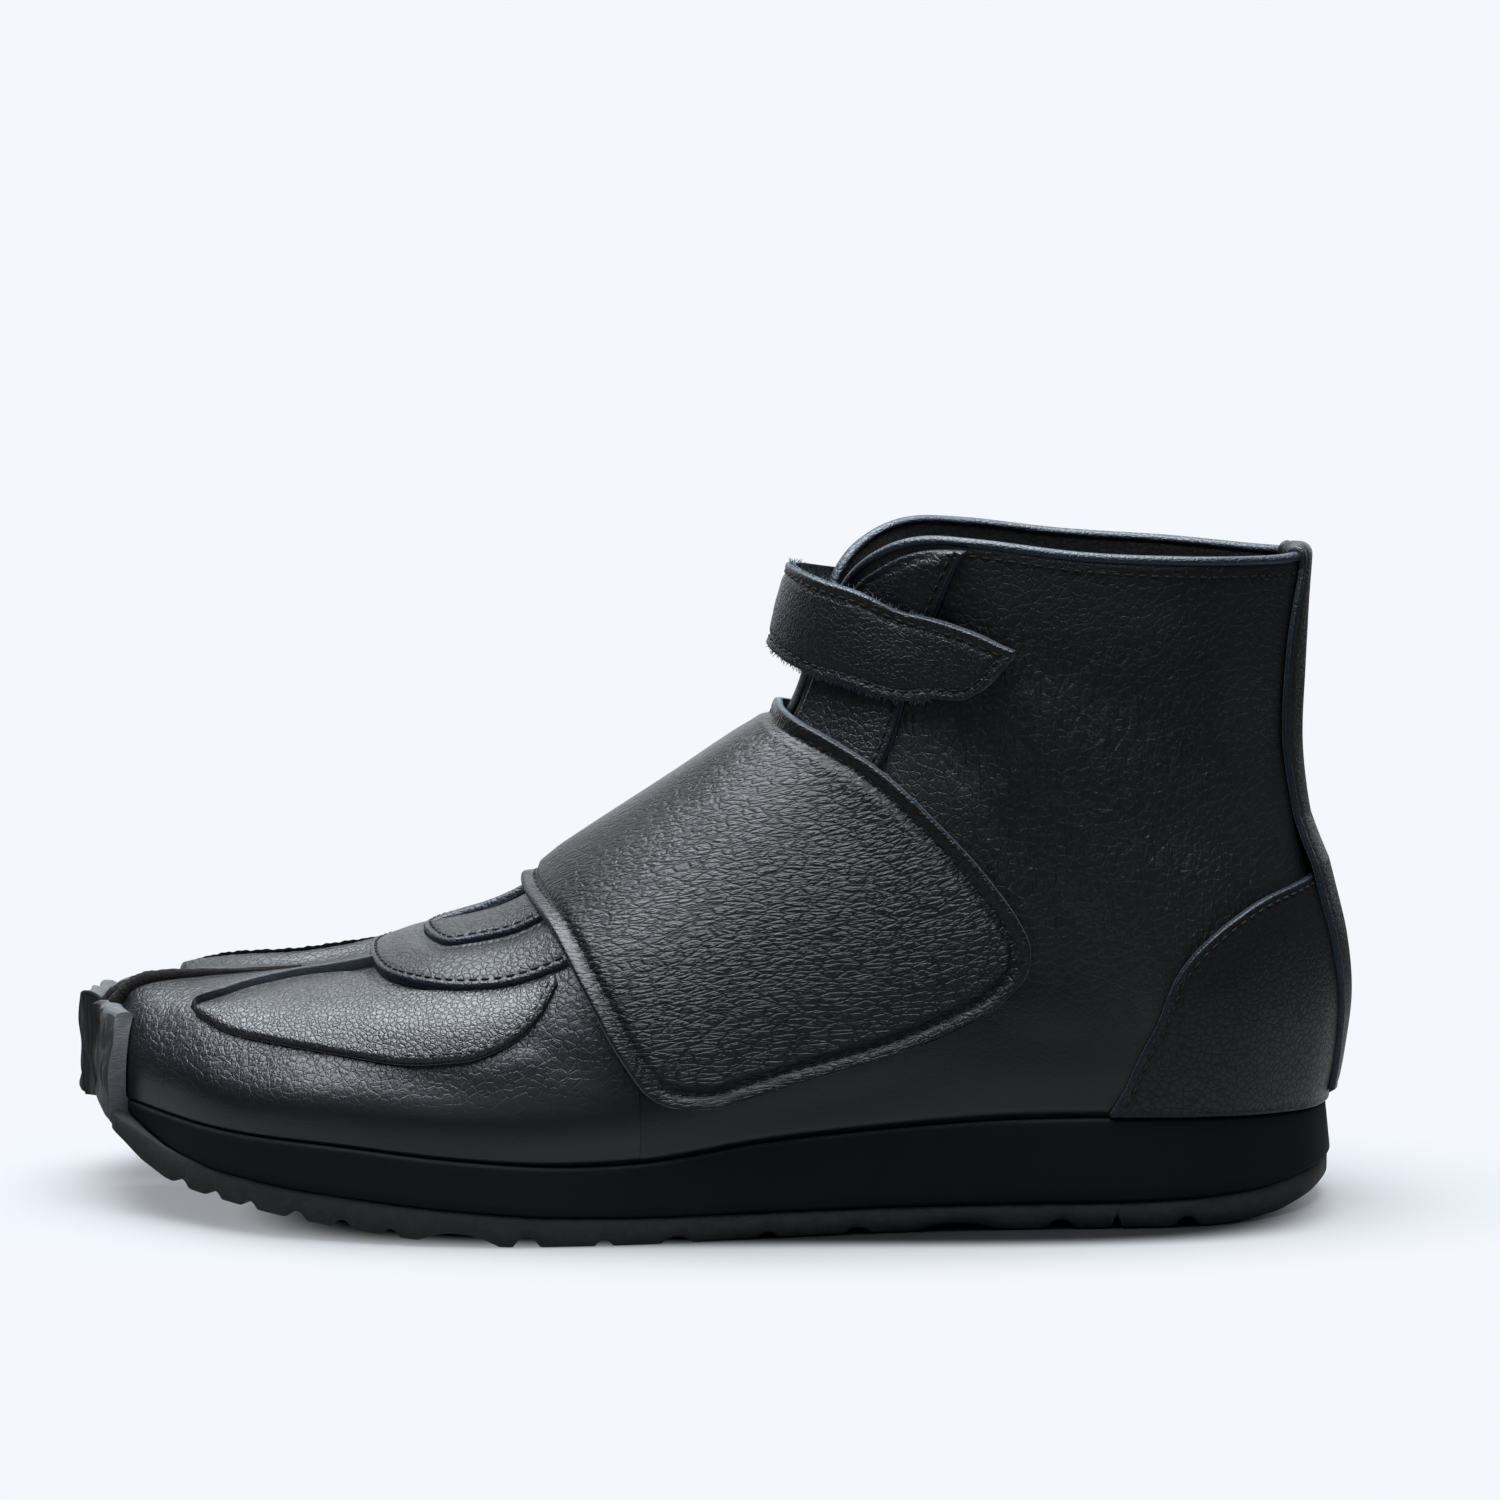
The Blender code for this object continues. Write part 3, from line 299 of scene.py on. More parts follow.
def spline(knots, values, at, level_end=False):
    """Cubic curve through the values, with slopes taken from the neighbours, or none at a level end."""
    knots = np.asarray(knots, float)
    values = np.asarray(values, float)
    at = np.asarray(at, float)
    step = np.diff(knots)
    slope = np.diff(values) / step
    tangent = np.empty_like(values)
    tangent[1:-1] = (slope[:-1] * step[1:] + slope[1:] * step[:-1]) / (step[:-1] + step[1:])
    tangent[0] = slope[0]
    tangent[-1] = 0.0 if level_end else slope[-1]
    row = np.clip(np.searchsorted(knots, at, side="right") - 1, 0, len(knots) - 2)
    span = step[row]
    part = (at - knots[row]) / span
    rest = 1 - part
    start = (1 + 2 * part) * rest ** 2 * values[row] + part * rest ** 2 * span * tangent[row]
    end = part * part * (3 - 2 * part) * values[row + 1] + part * part * (part - 1) * span * tangent[row + 1]
    return start + end


def unit(vectors, guard=0.0):
    """Vectors divided by their lengths, with a guard added where a length may be zero."""
    return vectors / (np.linalg.norm(vectors, axis=-1, keepdims=True) + guard)


def lengths(path):
    """Distance along a path up to each of its points."""
    return np.concatenate([[0.0], np.cumsum(np.linalg.norm(np.diff(path, axis=0), axis=1))])


def blend(first, second, share):
    """Straight mix of two values: the first at share 0, the second at share 1."""
    return first * (1 - share) + second * share


def along(table, at):
    """Second column of a two-column table at values of the first."""
    return spline([row[0] for row in table], [row[1] for row in table], at)


def height(table, x):
    """Height from a line table, straight between its rows so that flats stay flat."""
    return np.interp(x, [row[0] for row in table], [row[1] for row in table])


def columns(table, station):
    """Every column of a section table at a station, a row number that may fall between rows."""
    rows = np.arange(len(table), dtype=float)
    crossing = (SECTION_COLUMNS.index("foot_y"), SECTION_COLUMNS.index("top_y"))
    return [spline(rows, [row[i] for row in table], station, i not in crossing) for i in range(len(table[0]))]


def half(side):
    """Section table of one half of the upper."""
    return LATERAL if side == LATERAL_SIDE else MEDIAL


def plan_normal(side, station):
    """Outward direction of the foot line, seen from above, straight back at the heel's seam."""
    step = 0.02
    station = np.asarray(station, float)
    before = columns(half(side), np.clip(station - step, 0, LAST))
    after = columns(half(side), np.clip(station + step, 0, LAST))
    dx = (after[0] - before[0]) * (station < LAST)
    dy = after[1] - before[1]
    length = np.hypot(dx, dy)
    return side * -dy / length, side * dx / length


def top_edge(side, station):
    """Top edge of half the upper; between the cleft and the throat both halves share one ridge."""
    own = np.stack(columns(half(side), station)[3:6])
    other = np.stack(columns(half(-side), station)[3:6])
    ridge = (station >= ROOT_STATION) & (station <= THROAT_STATION)
    return np.where(ridge, (own + other) / 2, own)


def skin(side, station, girth):
    """Outer face of the upper: station runs from the cleft to the heel,
    girth from the sole to the top edge."""
    station, girth = np.broadcast_arrays(np.asarray(station, float), np.asarray(girth, float))
    foot_x, foot_y = columns(half(side), station)[:2]
    roundness, belly, heel = columns(half(side), station)[6:]
    top_x, top_y, top_z = top_edge(side, station)
    foot_z = along(FEATHER_LINE, foot_x) + GAP
    roundness = np.clip(roundness, 0, 1)
    turn = girth * np.pi / 2
    across = (1 - roundness) * girth + roundness * (1 - np.cos(turn))
    rise = (1 - roundness) * girth + roundness * np.sin(turn)
    normal_x, normal_y = plan_normal(side, station)
    swell = belly * np.sin(np.pi * girth) + heel * along(HEEL_SWELL, girth)
    x = foot_x + (top_x - foot_x) * across + normal_x * swell
    y = foot_y + (top_y - foot_y) * across + normal_y * swell
    z = foot_z + (top_z - foot_z) * rise - along(SETTLE, station) * soft_step(girth, 0.4, 0.95)
    return np.stack([x, y, z], axis=-1)


def skin_normal(side, station, girth):
    """Unit normal of the upper: cross product of its slopes along station and girth, turned outwards."""
    step = 0.01
    station, girth = np.broadcast_arrays(np.asarray(station, float), np.asarray(girth, float))
    after = skin(side, np.clip(station + step, 0, LAST), girth)
    before = skin(side, np.clip(station - step, 0, LAST), girth)
    above = skin(side, station, np.clip(girth + step, 0, 1))
    below = skin(side, station, np.clip(girth - step, 0, 1))
    return unit(np.cross(after - before, above - below) * -side)


def raised(side, station, girth, lift):
    """Point that stands off the upper by a lift."""
    lift = np.asarray(lift, float)
    return skin(side, station, girth) + skin_normal(side, station, girth) * lift[..., None]


def on_upper(spot, lift):
    """Points off the upper for a spot (side, station, girth); side 0 is the mean of both halves."""
    side, station, girth = np.broadcast_arrays(*[np.asarray(part, float) for part in spot])
    lift = np.broadcast_to(np.asarray(lift, float), station.shape)
    share = ((1 - side) / 2)[..., None]
    lateral = raised(LATERAL_SIDE, station, girth, lift)
    medial = raised(MEDIAL_SIDE, station, girth, lift)
    return blend(medial, lateral, share)


def upper_normal(spot):
    """Unit normals of the upper at a spot, blended as on_upper blends its points."""
    side, station, girth = np.broadcast_arrays(*[np.asarray(part, float) for part in spot])
    share = ((1 - side) / 2)[..., None]
    lateral = skin_normal(LATERAL_SIDE, station, girth)
    medial = skin_normal(MEDIAL_SIDE, station, girth)
    return unit(blend(medial, lateral, share))


def close_to_ends(count):
    """Values from 0 to 1, spaced as a cosine so that they crowd at both ends."""
    return 0.5 - 0.5 * np.cos(np.linspace(0, np.pi, count))


def edge_rows(table, at):
    """Columns of an edge table at row numbers that may fall between rows."""
    rows = np.arange(len(table), dtype=float)
    return np.stack([spline(rows, [row[i] for row in table], at) for i in range(len(table[0]))], axis=-1)


def between_edges(side, table, at, across):
    """Spot grid between the two edges of a table: rows along the edges, columns across."""
    rows = edge_rows(table, at)
    station = blend(rows[:, :1], rows[:, 2:3], across)
    girth = blend(rows[:, 1:2], rows[:, 3:4], across)
    return np.full(station.shape, float(side)), station, girth


def stack_spots(spots):
    """One spot grid from several, their rows one after another."""
    return tuple(np.concatenate([spot[i] for spot in spots]) for i in range(3))


def moved_in(spot, offset):
    """Path on the upper moved sideways by an offset in millimetres: the offset's parts along the
    surface's two slopes, solved as two equations for the change of station and girth."""
    side, station, girth = spot
    step = 0.02
    after = np.clip(station + step, 0, LAST)
    before = np.clip(station - step, 0, LAST)
    above = np.clip(girth + step, 0, 1)
    below = np.clip(girth - step, 0, 1)
    by_station = on_upper((side, after, girth), 0.0) - on_upper((side, before, girth), 0.0)
    by_station = by_station / (after - before)[..., None]
    by_girth = on_upper((side, station, above), 0.0) - on_upper((side, station, below), 0.0)
    by_girth = by_girth / (above - below)[..., None]
    along_path = unit(np.gradient(on_upper(spot, 0.0), axis=0), TINY)
    sideways = np.cross(upper_normal(spot), along_path) * np.asarray(offset, float)[..., None]
    station_square = (by_station * by_station).sum(-1)
    product = (by_station * by_girth).sum(-1)
    girth_square = (by_girth * by_girth).sum(-1)
    to_station = (by_station * sideways).sum(-1)
    to_girth = (by_girth * sideways).sum(-1)
    area = station_square * girth_square - product * product + TINY
    new_station = station + (girth_square * to_station - product * to_girth) / area
    new_girth = girth + (station_square * to_girth - product * to_station) / area
    return side, np.clip(new_station, 0, LAST), np.clip(new_girth, 0, 1)


def hump(value, start, full, fall, end):
    """0 before start and after end, 1 between full and fall, and a soft step between."""
    return soft_step(value, start, full) * (1 - soft_step(value, fall, end))


def border_distance(points):
    """Distance of every grid point to the nearest point of the grid's border, in millimetres."""
    flat = points.reshape(-1, 3)
    border = np.concatenate([points[0], points[-1], points[:, 0], points[:, -1]])
    square = (flat ** 2).sum(1)[:, None] + (border ** 2).sum(1)[None] - 2 * flat @ border.T
    return np.sqrt(np.clip(square.min(axis=1), 0, None)).reshape(points.shape[:2])


def soft_step(value, start, end):
    """0 before start, 1 after end, and an S-shaped cubic between."""
    t = np.clip((value - start) / (end - start), 0, 1)
    return t * t * (3 - 2 * t)


def patch(points, look=0, flat=None, **marks):
    """A grid of points with its material number, flat coordinates and named values for the material."""
    return {"points": points, "look": look, "flat": flat, "marks": marks}


def flat_lengths(points):
    """Flat coordinates of a grid in metres: length along the middle row and along the middle column."""
    along_row = lengths(points[points.shape[0] // 2]) * MM
    along_column = lengths(points[:, points.shape[1] // 2]) * MM
    return np.stack(np.meshgrid(along_row, along_column), axis=-1)


def grid_quads(rows, count):
    """Corner numbers of the quads between neighbouring points of a grid, its points counted row by row."""
    index = np.arange(rows * count).reshape(rows, count)
    corners = (index[:-1, :-1], index[1:, :-1], index[1:, 1:], index[:-1, 1:])
    return np.stack(corners, axis=-1).reshape(-1, 4)


def build(name, patches, looks, replaced=(), closed=True, sharp=55.0):
    """One mesh from grids: quads between neighbouring points, shared
    borders welded, faces turned outwards."""
    names = sorted({key for part in patches for key in part["marks"]})
    points, faces, numbers, flats = [], [], [], []
    marks = {key: [] for key in names}
    start = 0
    for part in patches:
        rows, count = part["points"].shape[:2]
        points.append(part["points"].reshape(-1, 3))
        faces.append(start + grid_quads(rows, count))
        numbers.append(np.broadcast_to(part["look"], (rows - 1, count - 1)).reshape(-1))
        flats.append(np.zeros((rows * count, 2)) if part["flat"] is None else part["flat"].reshape(-1, 2))
        for key in names:
            marks[key].append(np.broadcast_to(part["marks"].get(key, 0.0), (rows, count)).reshape(-1))
        start += rows * count
    points = (np.concatenate(points) - (ORIGIN_X, ORIGIN_Y, 0.0)) * MM
    faces = np.concatenate(faces)
    mesh = bpy.data.meshes.new(name)
    mesh.from_pydata(points.tolist(), [], faces.tolist())
    mesh.polygons.foreach_set("material_index", np.concatenate(numbers).astype(np.int32))
    flat = np.concatenate(flats)[faces.reshape(-1)]
    mesh.uv_layers.new(name="flat").data.foreach_set("uv", flat.reshape(-1))
    for key in names:
        values = np.concatenate(marks[key]).astype(np.float32)
        mesh.attributes.new(key, "FLOAT", "POINT").data.foreach_set("value", values)
    body = bmesh.new()
    body.from_mesh(mesh)
    bmesh.ops.remove_doubles(body, verts=body.verts[:], dist=WELD)
    bmesh.ops.recalc_face_normals(body, faces=body.faces[:])
    if not closed:
        outermost = max(body.faces, key=lambda face: face.calc_center_median().x)
        if outermost.normal.x < 0:
            bmesh.ops.reverse_faces(body, faces=body.faces[:])
    body.to_mesh(mesh)
    body.free()
    mesh.shade_smooth()
    mesh.set_sharp_from_angle(angle=np.radians(sharp))
    for look in looks:
        mesh.materials.append(look)
    piece = bpy.data.objects.new(name, mesh)
    bpy.context.collection.objects.link(piece)
    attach(piece, "root")
    if replaced:
        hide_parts(*replaced)
    return piece


def raw_rim(under, top):
    """Cut edge all round a panel: grids from the border of the underside up to the border of the top."""
    part = np.linspace(0, 1, 4)[:, None, None]
    low = (under[0], under[-1], under[:, 0], under[:, -1])
    high = (top[0], top[-1], top[:, 0], top[:, -1])
    return [blend(first[None], second[None], part) for first, second in zip(low, high)]


def cut_profile(distance, thick, inset, groove, puff, bevel, width=GROOVE_WIDTH):
    """Height over a panel's underside: a rounded cut edge, a sewn groove at the inset, and a rise past it."""
    corner = np.clip(distance / bevel, 0, 1)
    broken = thick - 0.75 * thick * (1 - np.sqrt(1 - (1 - corner) ** 2))
    sewn = groove * np.exp(-((distance - inset) / np.where(distance < inset, 1.4 * width, width)) ** 2)
    return broken - sewn + puff * soft_step(distance, inset, inset + 9.0)


def plate(name, point, shape, base, thick, looks, slot, replaced, inset=0.0, groove=0.0, puff=0.0, bevel=0.6,
          width=GROOVE_WIDTH, margin=0.0, polish=0.0, relief=None):
    """Leather panel: top from point(lift) with the cut profile, underside
    at its base lift, raw edge between."""
    under = point(np.full(shape, base))
    distance = border_distance(point(np.full(shape, base) + thick))
    lift = base + cut_profile(distance, thick, inset, groove, puff, bevel, width)
    if relief is not None:
        lift = lift + relief(distance)
    top = point(lift)
    flat = flat_lengths(top)
    plain = 0.6 * (1 - soft_step(distance, margin - 0.8, margin + 0.4)) if margin > 0 else 0.0
    patches = [patch(top, 0, flat, edge=distance, smooth=np.maximum(plain, polish)), patch(under, 1, flat)]
    patches += [patch(rim, 1) for rim in raw_rim(under, top)]
    return build(name, patches, looks, replaced)


def panel(name, spot, base, thick, look, replaced=(), **cut):
    """Leather plate laid on the upper at a spot grid."""
    looks = [finish(look), finish("raw_edge")]
    plate(name, lambda lift: on_upper(spot, lift), spot[1].shape, base, thick, looks, "upper_leather",
          replaced, **cut)


def add_node(tree, kind, settings=None, **inputs):
    """A shader node with its settings, each input given as a value or as the output that feeds it; an
    input is named, or is i and its number."""
    made = tree.nodes.new(kind)
    for key, value in (settings or {}).items():
        setattr(made, key, value)
    for key, value in inputs.items():
        numbered = key[0] == "i" and key[1:].isdigit()
        socket = made.inputs[int(key[1:]) if numbered else key.replace("_", " ")]
        if isinstance(value, bpy.types.NodeSocket):
            tree.links.new(value, socket)
        else:
            socket.default_value = value
    return made


def new_finish(name, roughness, specular, coat=0.0, sheen=0.0):
    """Principled material with its constant values set, and its tree and shader to add to."""
    made = bpy.data.materials.new(name)
    made.use_nodes = True
    shader = made.node_tree.nodes["Principled BSDF"]
    values = {"Roughness": roughness, "Specular IOR Level": specular, "Coat Weight": coat,
              "Coat Roughness": COAT_ROUGHNESS, "Sheen Weight": sheen, "Sheen Roughness": SHEEN_ROUGHNESS}
    for key, value in values.items():
        shader.inputs[key].default_value = value
    return made, made.node_tree, shader


def feed(tree, shader, **outputs):
    """Links outputs to the shader's inputs of those names."""
    for key, output in outputs.items():
        tree.links.new(output, shader.inputs[key.replace("_", " ")])


def math(tree, operation, first, second=0.0):
    """Result of one operation on two values or outputs."""
    return add_node(tree, "ShaderNodeMath", {"operation": operation}, i0=first, i1=second).outputs[0]


def ranged(tree, value, low, high, out_low, out_high):
    """An S-shaped step from one output value to another while the value goes from low to high."""
    return add_node(tree, "ShaderNodeMapRange", {"interpolation_type": "SMOOTHSTEP"}, Value=value,
                    From_Min=low, From_Max=high, To_Min=out_low, To_Max=out_high).outputs[0]


def mixed(tree, share, first, second):
    """Mix of two colours, each a colour or an output, by a share from another output."""
    ends = [end if isinstance(end, bpy.types.NodeSocket) else (*end[:3], 1.0) for end in (first, second)]
    return add_node(tree, "ShaderNodeMix", {"data_type": "RGBA"}, i0=share, i6=ends[0], i7=ends[1]).outputs[2]


def noise(tree, place, scale, detail, **more):
    """Cloudy values from 0 to 1 at a scale in features to the metre."""
    made = add_node(tree, "ShaderNodeTexNoise", None, Vector=place, Scale=scale, Detail=detail, **more)
    return made.outputs["Fac"]


def mark(tree, name):
    """A value that the piece carries on its points."""
    return add_node(tree, "ShaderNodeAttribute", {"attribute_name": name}).outputs["Fac"]


def bump(tree, relief, depth, strength=1.0, **more):
    """Normal tilted as if the relief, times a depth in metres, were shape."""
    made = add_node(tree, "ShaderNodeBump", None, Height=relief, Strength=strength, Distance=depth, **more)
    return made.outputs[0]


def scaled(colour, factor):
    """A colour made lighter or darker by a factor."""
    return tuple(value * factor for value in colour[:3])


def place_output(tree, flat, stretch=(1.0, 1.0, 1.0), turn=0.0):
    """Where a pattern reads its place: the piece's own frame or its flat coordinates, with the pattern
    turned and then stretched along its own directions."""
    if flat:
        source = add_node(tree, "ShaderNodeUVMap", {"uv_map": "flat"}).outputs[0]
    else:
        source = add_node(tree, "ShaderNodeTexCoord").outputs["Object"]
    return add_node(tree, "ShaderNodeMapping", {"vector_type": "TEXTURE"}, Vector=source,
                    Rotation=(0.0, 0.0, turn), Scale=stretch).outputs[0]


def warped(tree, place, scale, amount):
    """Place pushed about by a noise, so that a pattern's lines wander."""
    cloud = add_node(tree, "ShaderNodeTexNoise", None, Vector=place, Scale=scale, Detail=2.0).outputs["Color"]
    kind = "ShaderNodeVectorMath"
    centred = add_node(tree, kind, {"operation": "SUBTRACT"}, i0=cloud, i1=(0.5, 0.5, 0.5)).outputs[0]
    pushed = add_node(tree, kind, {"operation": "SCALE"}, i0=centred, Scale=amount).outputs[0]
    return add_node(tree, kind, {"operation": "ADD"}, i0=place, i1=pushed).outputs[0]


def cells(tree, place, cell, furrow):
    """Pebbles of a grain: 0 in the furrows between cells, a quick rise over the furrow, then a soft crown."""
    made = add_node(tree, "ShaderNodeTexVoronoi", {"feature": "DISTANCE_TO_EDGE"}, Vector=place,
                    Scale=1.0 / cell)
    gap = made.outputs["Distance"]
    return math(tree, "ADD", ranged(tree, gap, 0.0, furrow, 0.0, 0.6), ranged(tree, gap, 0.0, 0.45, 0.0, 0.4))


def leather(name, colour, grain, depth, flat=False, stretch=(1.0, 1.0, 1.0), turn=0.0, roughness=(0.48, 0.34),
            specular=0.3, coat=0.06, wrinkles=0.0, worn=None, furrow=0.16, dull=0.7):
    """Grained leather: warped cells for the grain, fine pores, and wrinkles where the piece marks them."""
    made, tree, shader = new_finish(name, roughness[1], specular, coat)
    place = place_output(tree, flat, stretch, turn)
    pebble = cells(tree, warped(tree, place, 0.25 / grain, grain * 0.7), grain, furrow)
    small = cells(tree, warped(tree, place, 0.7 / grain, grain * 0.4), grain * 0.47, 0.25)
    pores = noise(tree, place, 4.0 / grain, 3.0)
    patchy = noise(tree, place, 60.0, 2.0)
    relief = math(tree, "ADD", math(tree, "MULTIPLY", pebble, 0.68), math(tree, "MULTIPLY", small, 0.26))
    relief = math(tree, "ADD", relief, math(tree, "MULTIPLY", pores, 0.12))
    smoothed = mark(tree, "smooth")
    relief = math(tree, "MULTIPLY", relief, math(tree, "SUBTRACT", 1.0, smoothed))
    normal = bump(tree, relief, depth)
    if wrinkles > 0:
        bent = warped(tree, place_output(tree, False, WRINKLE_STRETCH, WRINKLE_TURN), 0.3, 1.8)
        valley = math(tree, "ABSOLUTE", math(tree, "SUBTRACT", noise(tree, bent, 1.0, 2.0), 0.5))
        valley = math(tree, "MULTIPLY", ranged(tree, valley, 0.0, 0.14, 0.0, 1.0), mark(tree, "wrinkle"))
        normal = bump(tree, valley, wrinkles, Normal=normal)
    even = math(tree, "ADD", relief, smoothed)
    gloss = ranged(tree, math(tree, "ADD", even, math(tree, "MULTIPLY", patchy, 0.5)), 0.3, 1.3, *roughness)
    shown = ranged(tree, math(tree, "MAXIMUM", pebble, smoothed), 0.0, 0.55, specular * dull, specular)
    # Painted shade: the colour falls to 0.45 of the leather's where the relief is low, in the grain's
    # furrows; as the relief is cut where the piece is marked smooth, the same darkening falls there too.
    painted = mixed(tree, ranged(tree, relief, 0.1, 0.8, 0.0, 1.0), scaled(colour, 0.45), colour)
    if worn is not None:
        rim = ranged(tree, mark(tree, "edge"), worn[1] * 0.7, worn[1], 1.0, 0.0)
        painted = mixed(tree, rim, painted, worn[0])
    feed(tree, shader, Normal=normal, Roughness=gloss, Specular_IOR_Level=shown, Base_Color=painted)
    return made


def cut_edge(name, colour, light, specular=0.18, sheen=0.25):
    """Raw leather edge: matte dyed fibres, lighter where they fray, with a fibrous bump."""
    made, tree, shader = new_finish(name, 0.82, specular, sheen=sheen)
    place = place_output(tree, False, (1.0, 1.0, 0.4))
    fibre = noise(tree, place, 1900.0, 4.0)
    fray = ranged(tree, noise(tree, place, 160.0, 2.0), 0.35, 0.7, 0.15, 1.0)
    share = math(tree, "MULTIPLY", ranged(tree, fibre, 0.45, 0.75, 0.0, 1.0), fray)
    feed(tree, shader, Base_Color=mixed(tree, share, colour, light), Normal=bump(tree, fibre, 0.0003, 0.9))
    return made


def nap(name, colour, light, clump_size, depth, sheen=0.35):
    """Napped or looped surface: clumps of fibre over a fine fuzz, soft to the light."""
    made, tree, shader = new_finish(name, 0.95, 0.1, sheen=sheen)
    clump = noise(tree, place_output(tree, False), 1.0 / clump_size, 4.0, Roughness=0.7)
    share = ranged(tree, clump, 0.35, 0.7, 0.0, 1.0)
    feed(tree, shader, Base_Color=mixed(tree, share, colour, light), Normal=bump(tree, clump, depth))
    return made


def foam(name, colour):
    """Moulded foam: matte black with a fine skin and a few faint moulding waves."""
    made, tree, shader = new_finish(name, 0.72, 0.08)
    place = place_output(tree, False)
    wave = noise(tree, place, 45.0, 1.0)
    relief = math(tree, "ADD", noise(tree, place, 2600.0, 2.0), math(tree, "MULTIPLY", wave, 1.2))
    feed(tree, shader, Base_Color=mixed(tree, wave, colour, scaled(colour, 1.6)),
         Roughness=ranged(tree, wave, 0.3, 0.7, 0.66, 0.8), Normal=bump(tree, relief, 0.0001, 0.5))
    return made


def rubber(name, colour, light, streak_stretch, start=0.65):
    """Trimmed rubber: matte, worn lighter in patches, with fine scuff lines along the trim; on the bumpers'
    front the same lighter streaks are a painted highlight instead of wear.
    """
    made, tree, shader = new_finish(name, 0.74, 0.25)
    place = place_output(tree, False, (1.0, 1.0, 1.0 / streak_stretch))
    scratch_and_streak = noise(tree, place, 420.0, 5.0, Roughness=0.7)
    broad = noise(tree, place, 70.0, 2.0)
    # Lighter in patches and streaks: wear on the sole and the trim, a painted highlight on the bumpers'
    # ribbed front.
    wear_and_sheen = math(tree, "ADD", scratch_and_streak, math(tree, "MULTIPLY", broad, 0.6))
    share = ranged(tree, wear_and_sheen, start, start + 0.35, 0.0, 1.0)
    feed(tree, shader, Base_Color=mixed(tree, share, colour, light),
         Roughness=ranged(tree, broad, 0.3, 0.7, 0.62, 0.85), Normal=bump(tree, scratch_and_streak, 0.00025, 0.8))
    return made


def thread(name, colour):
    """Sewing thread: matte, with a fine twist across each stitch."""
    made, tree, shader = new_finish(name, 0.75, 0.2)
    twist = noise(tree, place_output(tree, False), 3200.0, 1.0)
    feed(tree, shader, Base_Color=mixed(tree, twist, scaled(colour, 0.6), colour),
         Normal=bump(tree, twist, 0.0001, 0.7))
    return made


def finish(kind):
    """A finish of this shoe by kind, made from the panel's colours when it is first asked for."""
    name = "tabi_" + kind
    if name in bpy.data.materials:
        return bpy.data.materials[name]
    colours = bpy.context.scene.tabi_colours
    grain = bpy.context.scene.tabi_sizes.grain
    strap_grain = bpy.context.scene.tabi_sizes.strap_grain
    black = colours.leather
    raw = colours.raw_edge
    makers = {
        "upper_leather": lambda: leather(name, black, grain * 1.3, 0.00013, specular=0.34, wrinkles=0.0002,
                                         furrow=0.09),
        "leaf_leather": lambda: leather(name, black, grain * 0.8, 0.00018, specular=0.42,
                                        worn=(colours.bead, 1.1)),
        "facing_leather": lambda: leather(name, black, grain, 0.00016, specular=0.26, worn=(raw, 0.8)),
        "counter_leather": lambda: leather(name, black, grain, 0.00009, specular=0.24, worn=(raw, 0.45)),
        "strap_leather": lambda: leather(name, colours.strap, strap_grain, 0.00037, flat=True,
                                         stretch=(2.15, 1.0, 1.0), turn=-0.34, roughness=(0.52, 0.36),
                                         specular=0.215, worn=(colours.frayed, 0.35), dull=0.75),
        "ankle_leather": lambda: leather(name, black, grain * 0.8, 0.00014, worn=(raw, 0.5)),
        "lining": lambda: leather(name, colours.lining, grain, 0.0001, roughness=(0.75, 0.6), specular=0.2,
                                  coat=0.0),
        "raw_edge": lambda: cut_edge(name, raw, colours.frayed),
        "curled_edge": lambda: cut_edge(name, colours.thread, raw, specular=0.0, sheen=0.0),
        "fibre": lambda: cut_edge(name, colours.frayed, scaled(colours.frayed, 2.0)),
        "strap_edge": lambda: cut_edge(name, scaled(raw, 2.4), colours.frayed),
        "pile": lambda: nap(name, colours.pile, colours.frayed, 0.0011, 0.0009),
        "welt": lambda: nap(name, colours.welt, scaled(colours.welt, 2.2), 0.0007, 0.0006, sheen=0.06),
        "footbed": lambda: nap(name, colours.lining, scaled(colours.lining, 2.0), 0.0009, 0.0002),
        "thread": lambda: thread(name, colours.thread),
        "foam": lambda: foam(name, colours.foam),
        "rubber": lambda: rubber(name, colours.rubber, scaled(colours.rubber, 1.9), 1.0),
        "rubber_trim": lambda: rubber(name, colours.trim, scaled(colours.trim, 1.5), 7.0),
        # Painted highlight: light streaks up the bumpers' ribbed front, the trimmed rubber's colour times
        # 1.7, stand in for glossy streaks of light along the ribs.
        "rubber_front_sheen_streaks": lambda: rubber(name, colours.rubber, scaled(colours.trim, 1.7), 0.06, 0.74),
    }
    return makers[kind]()


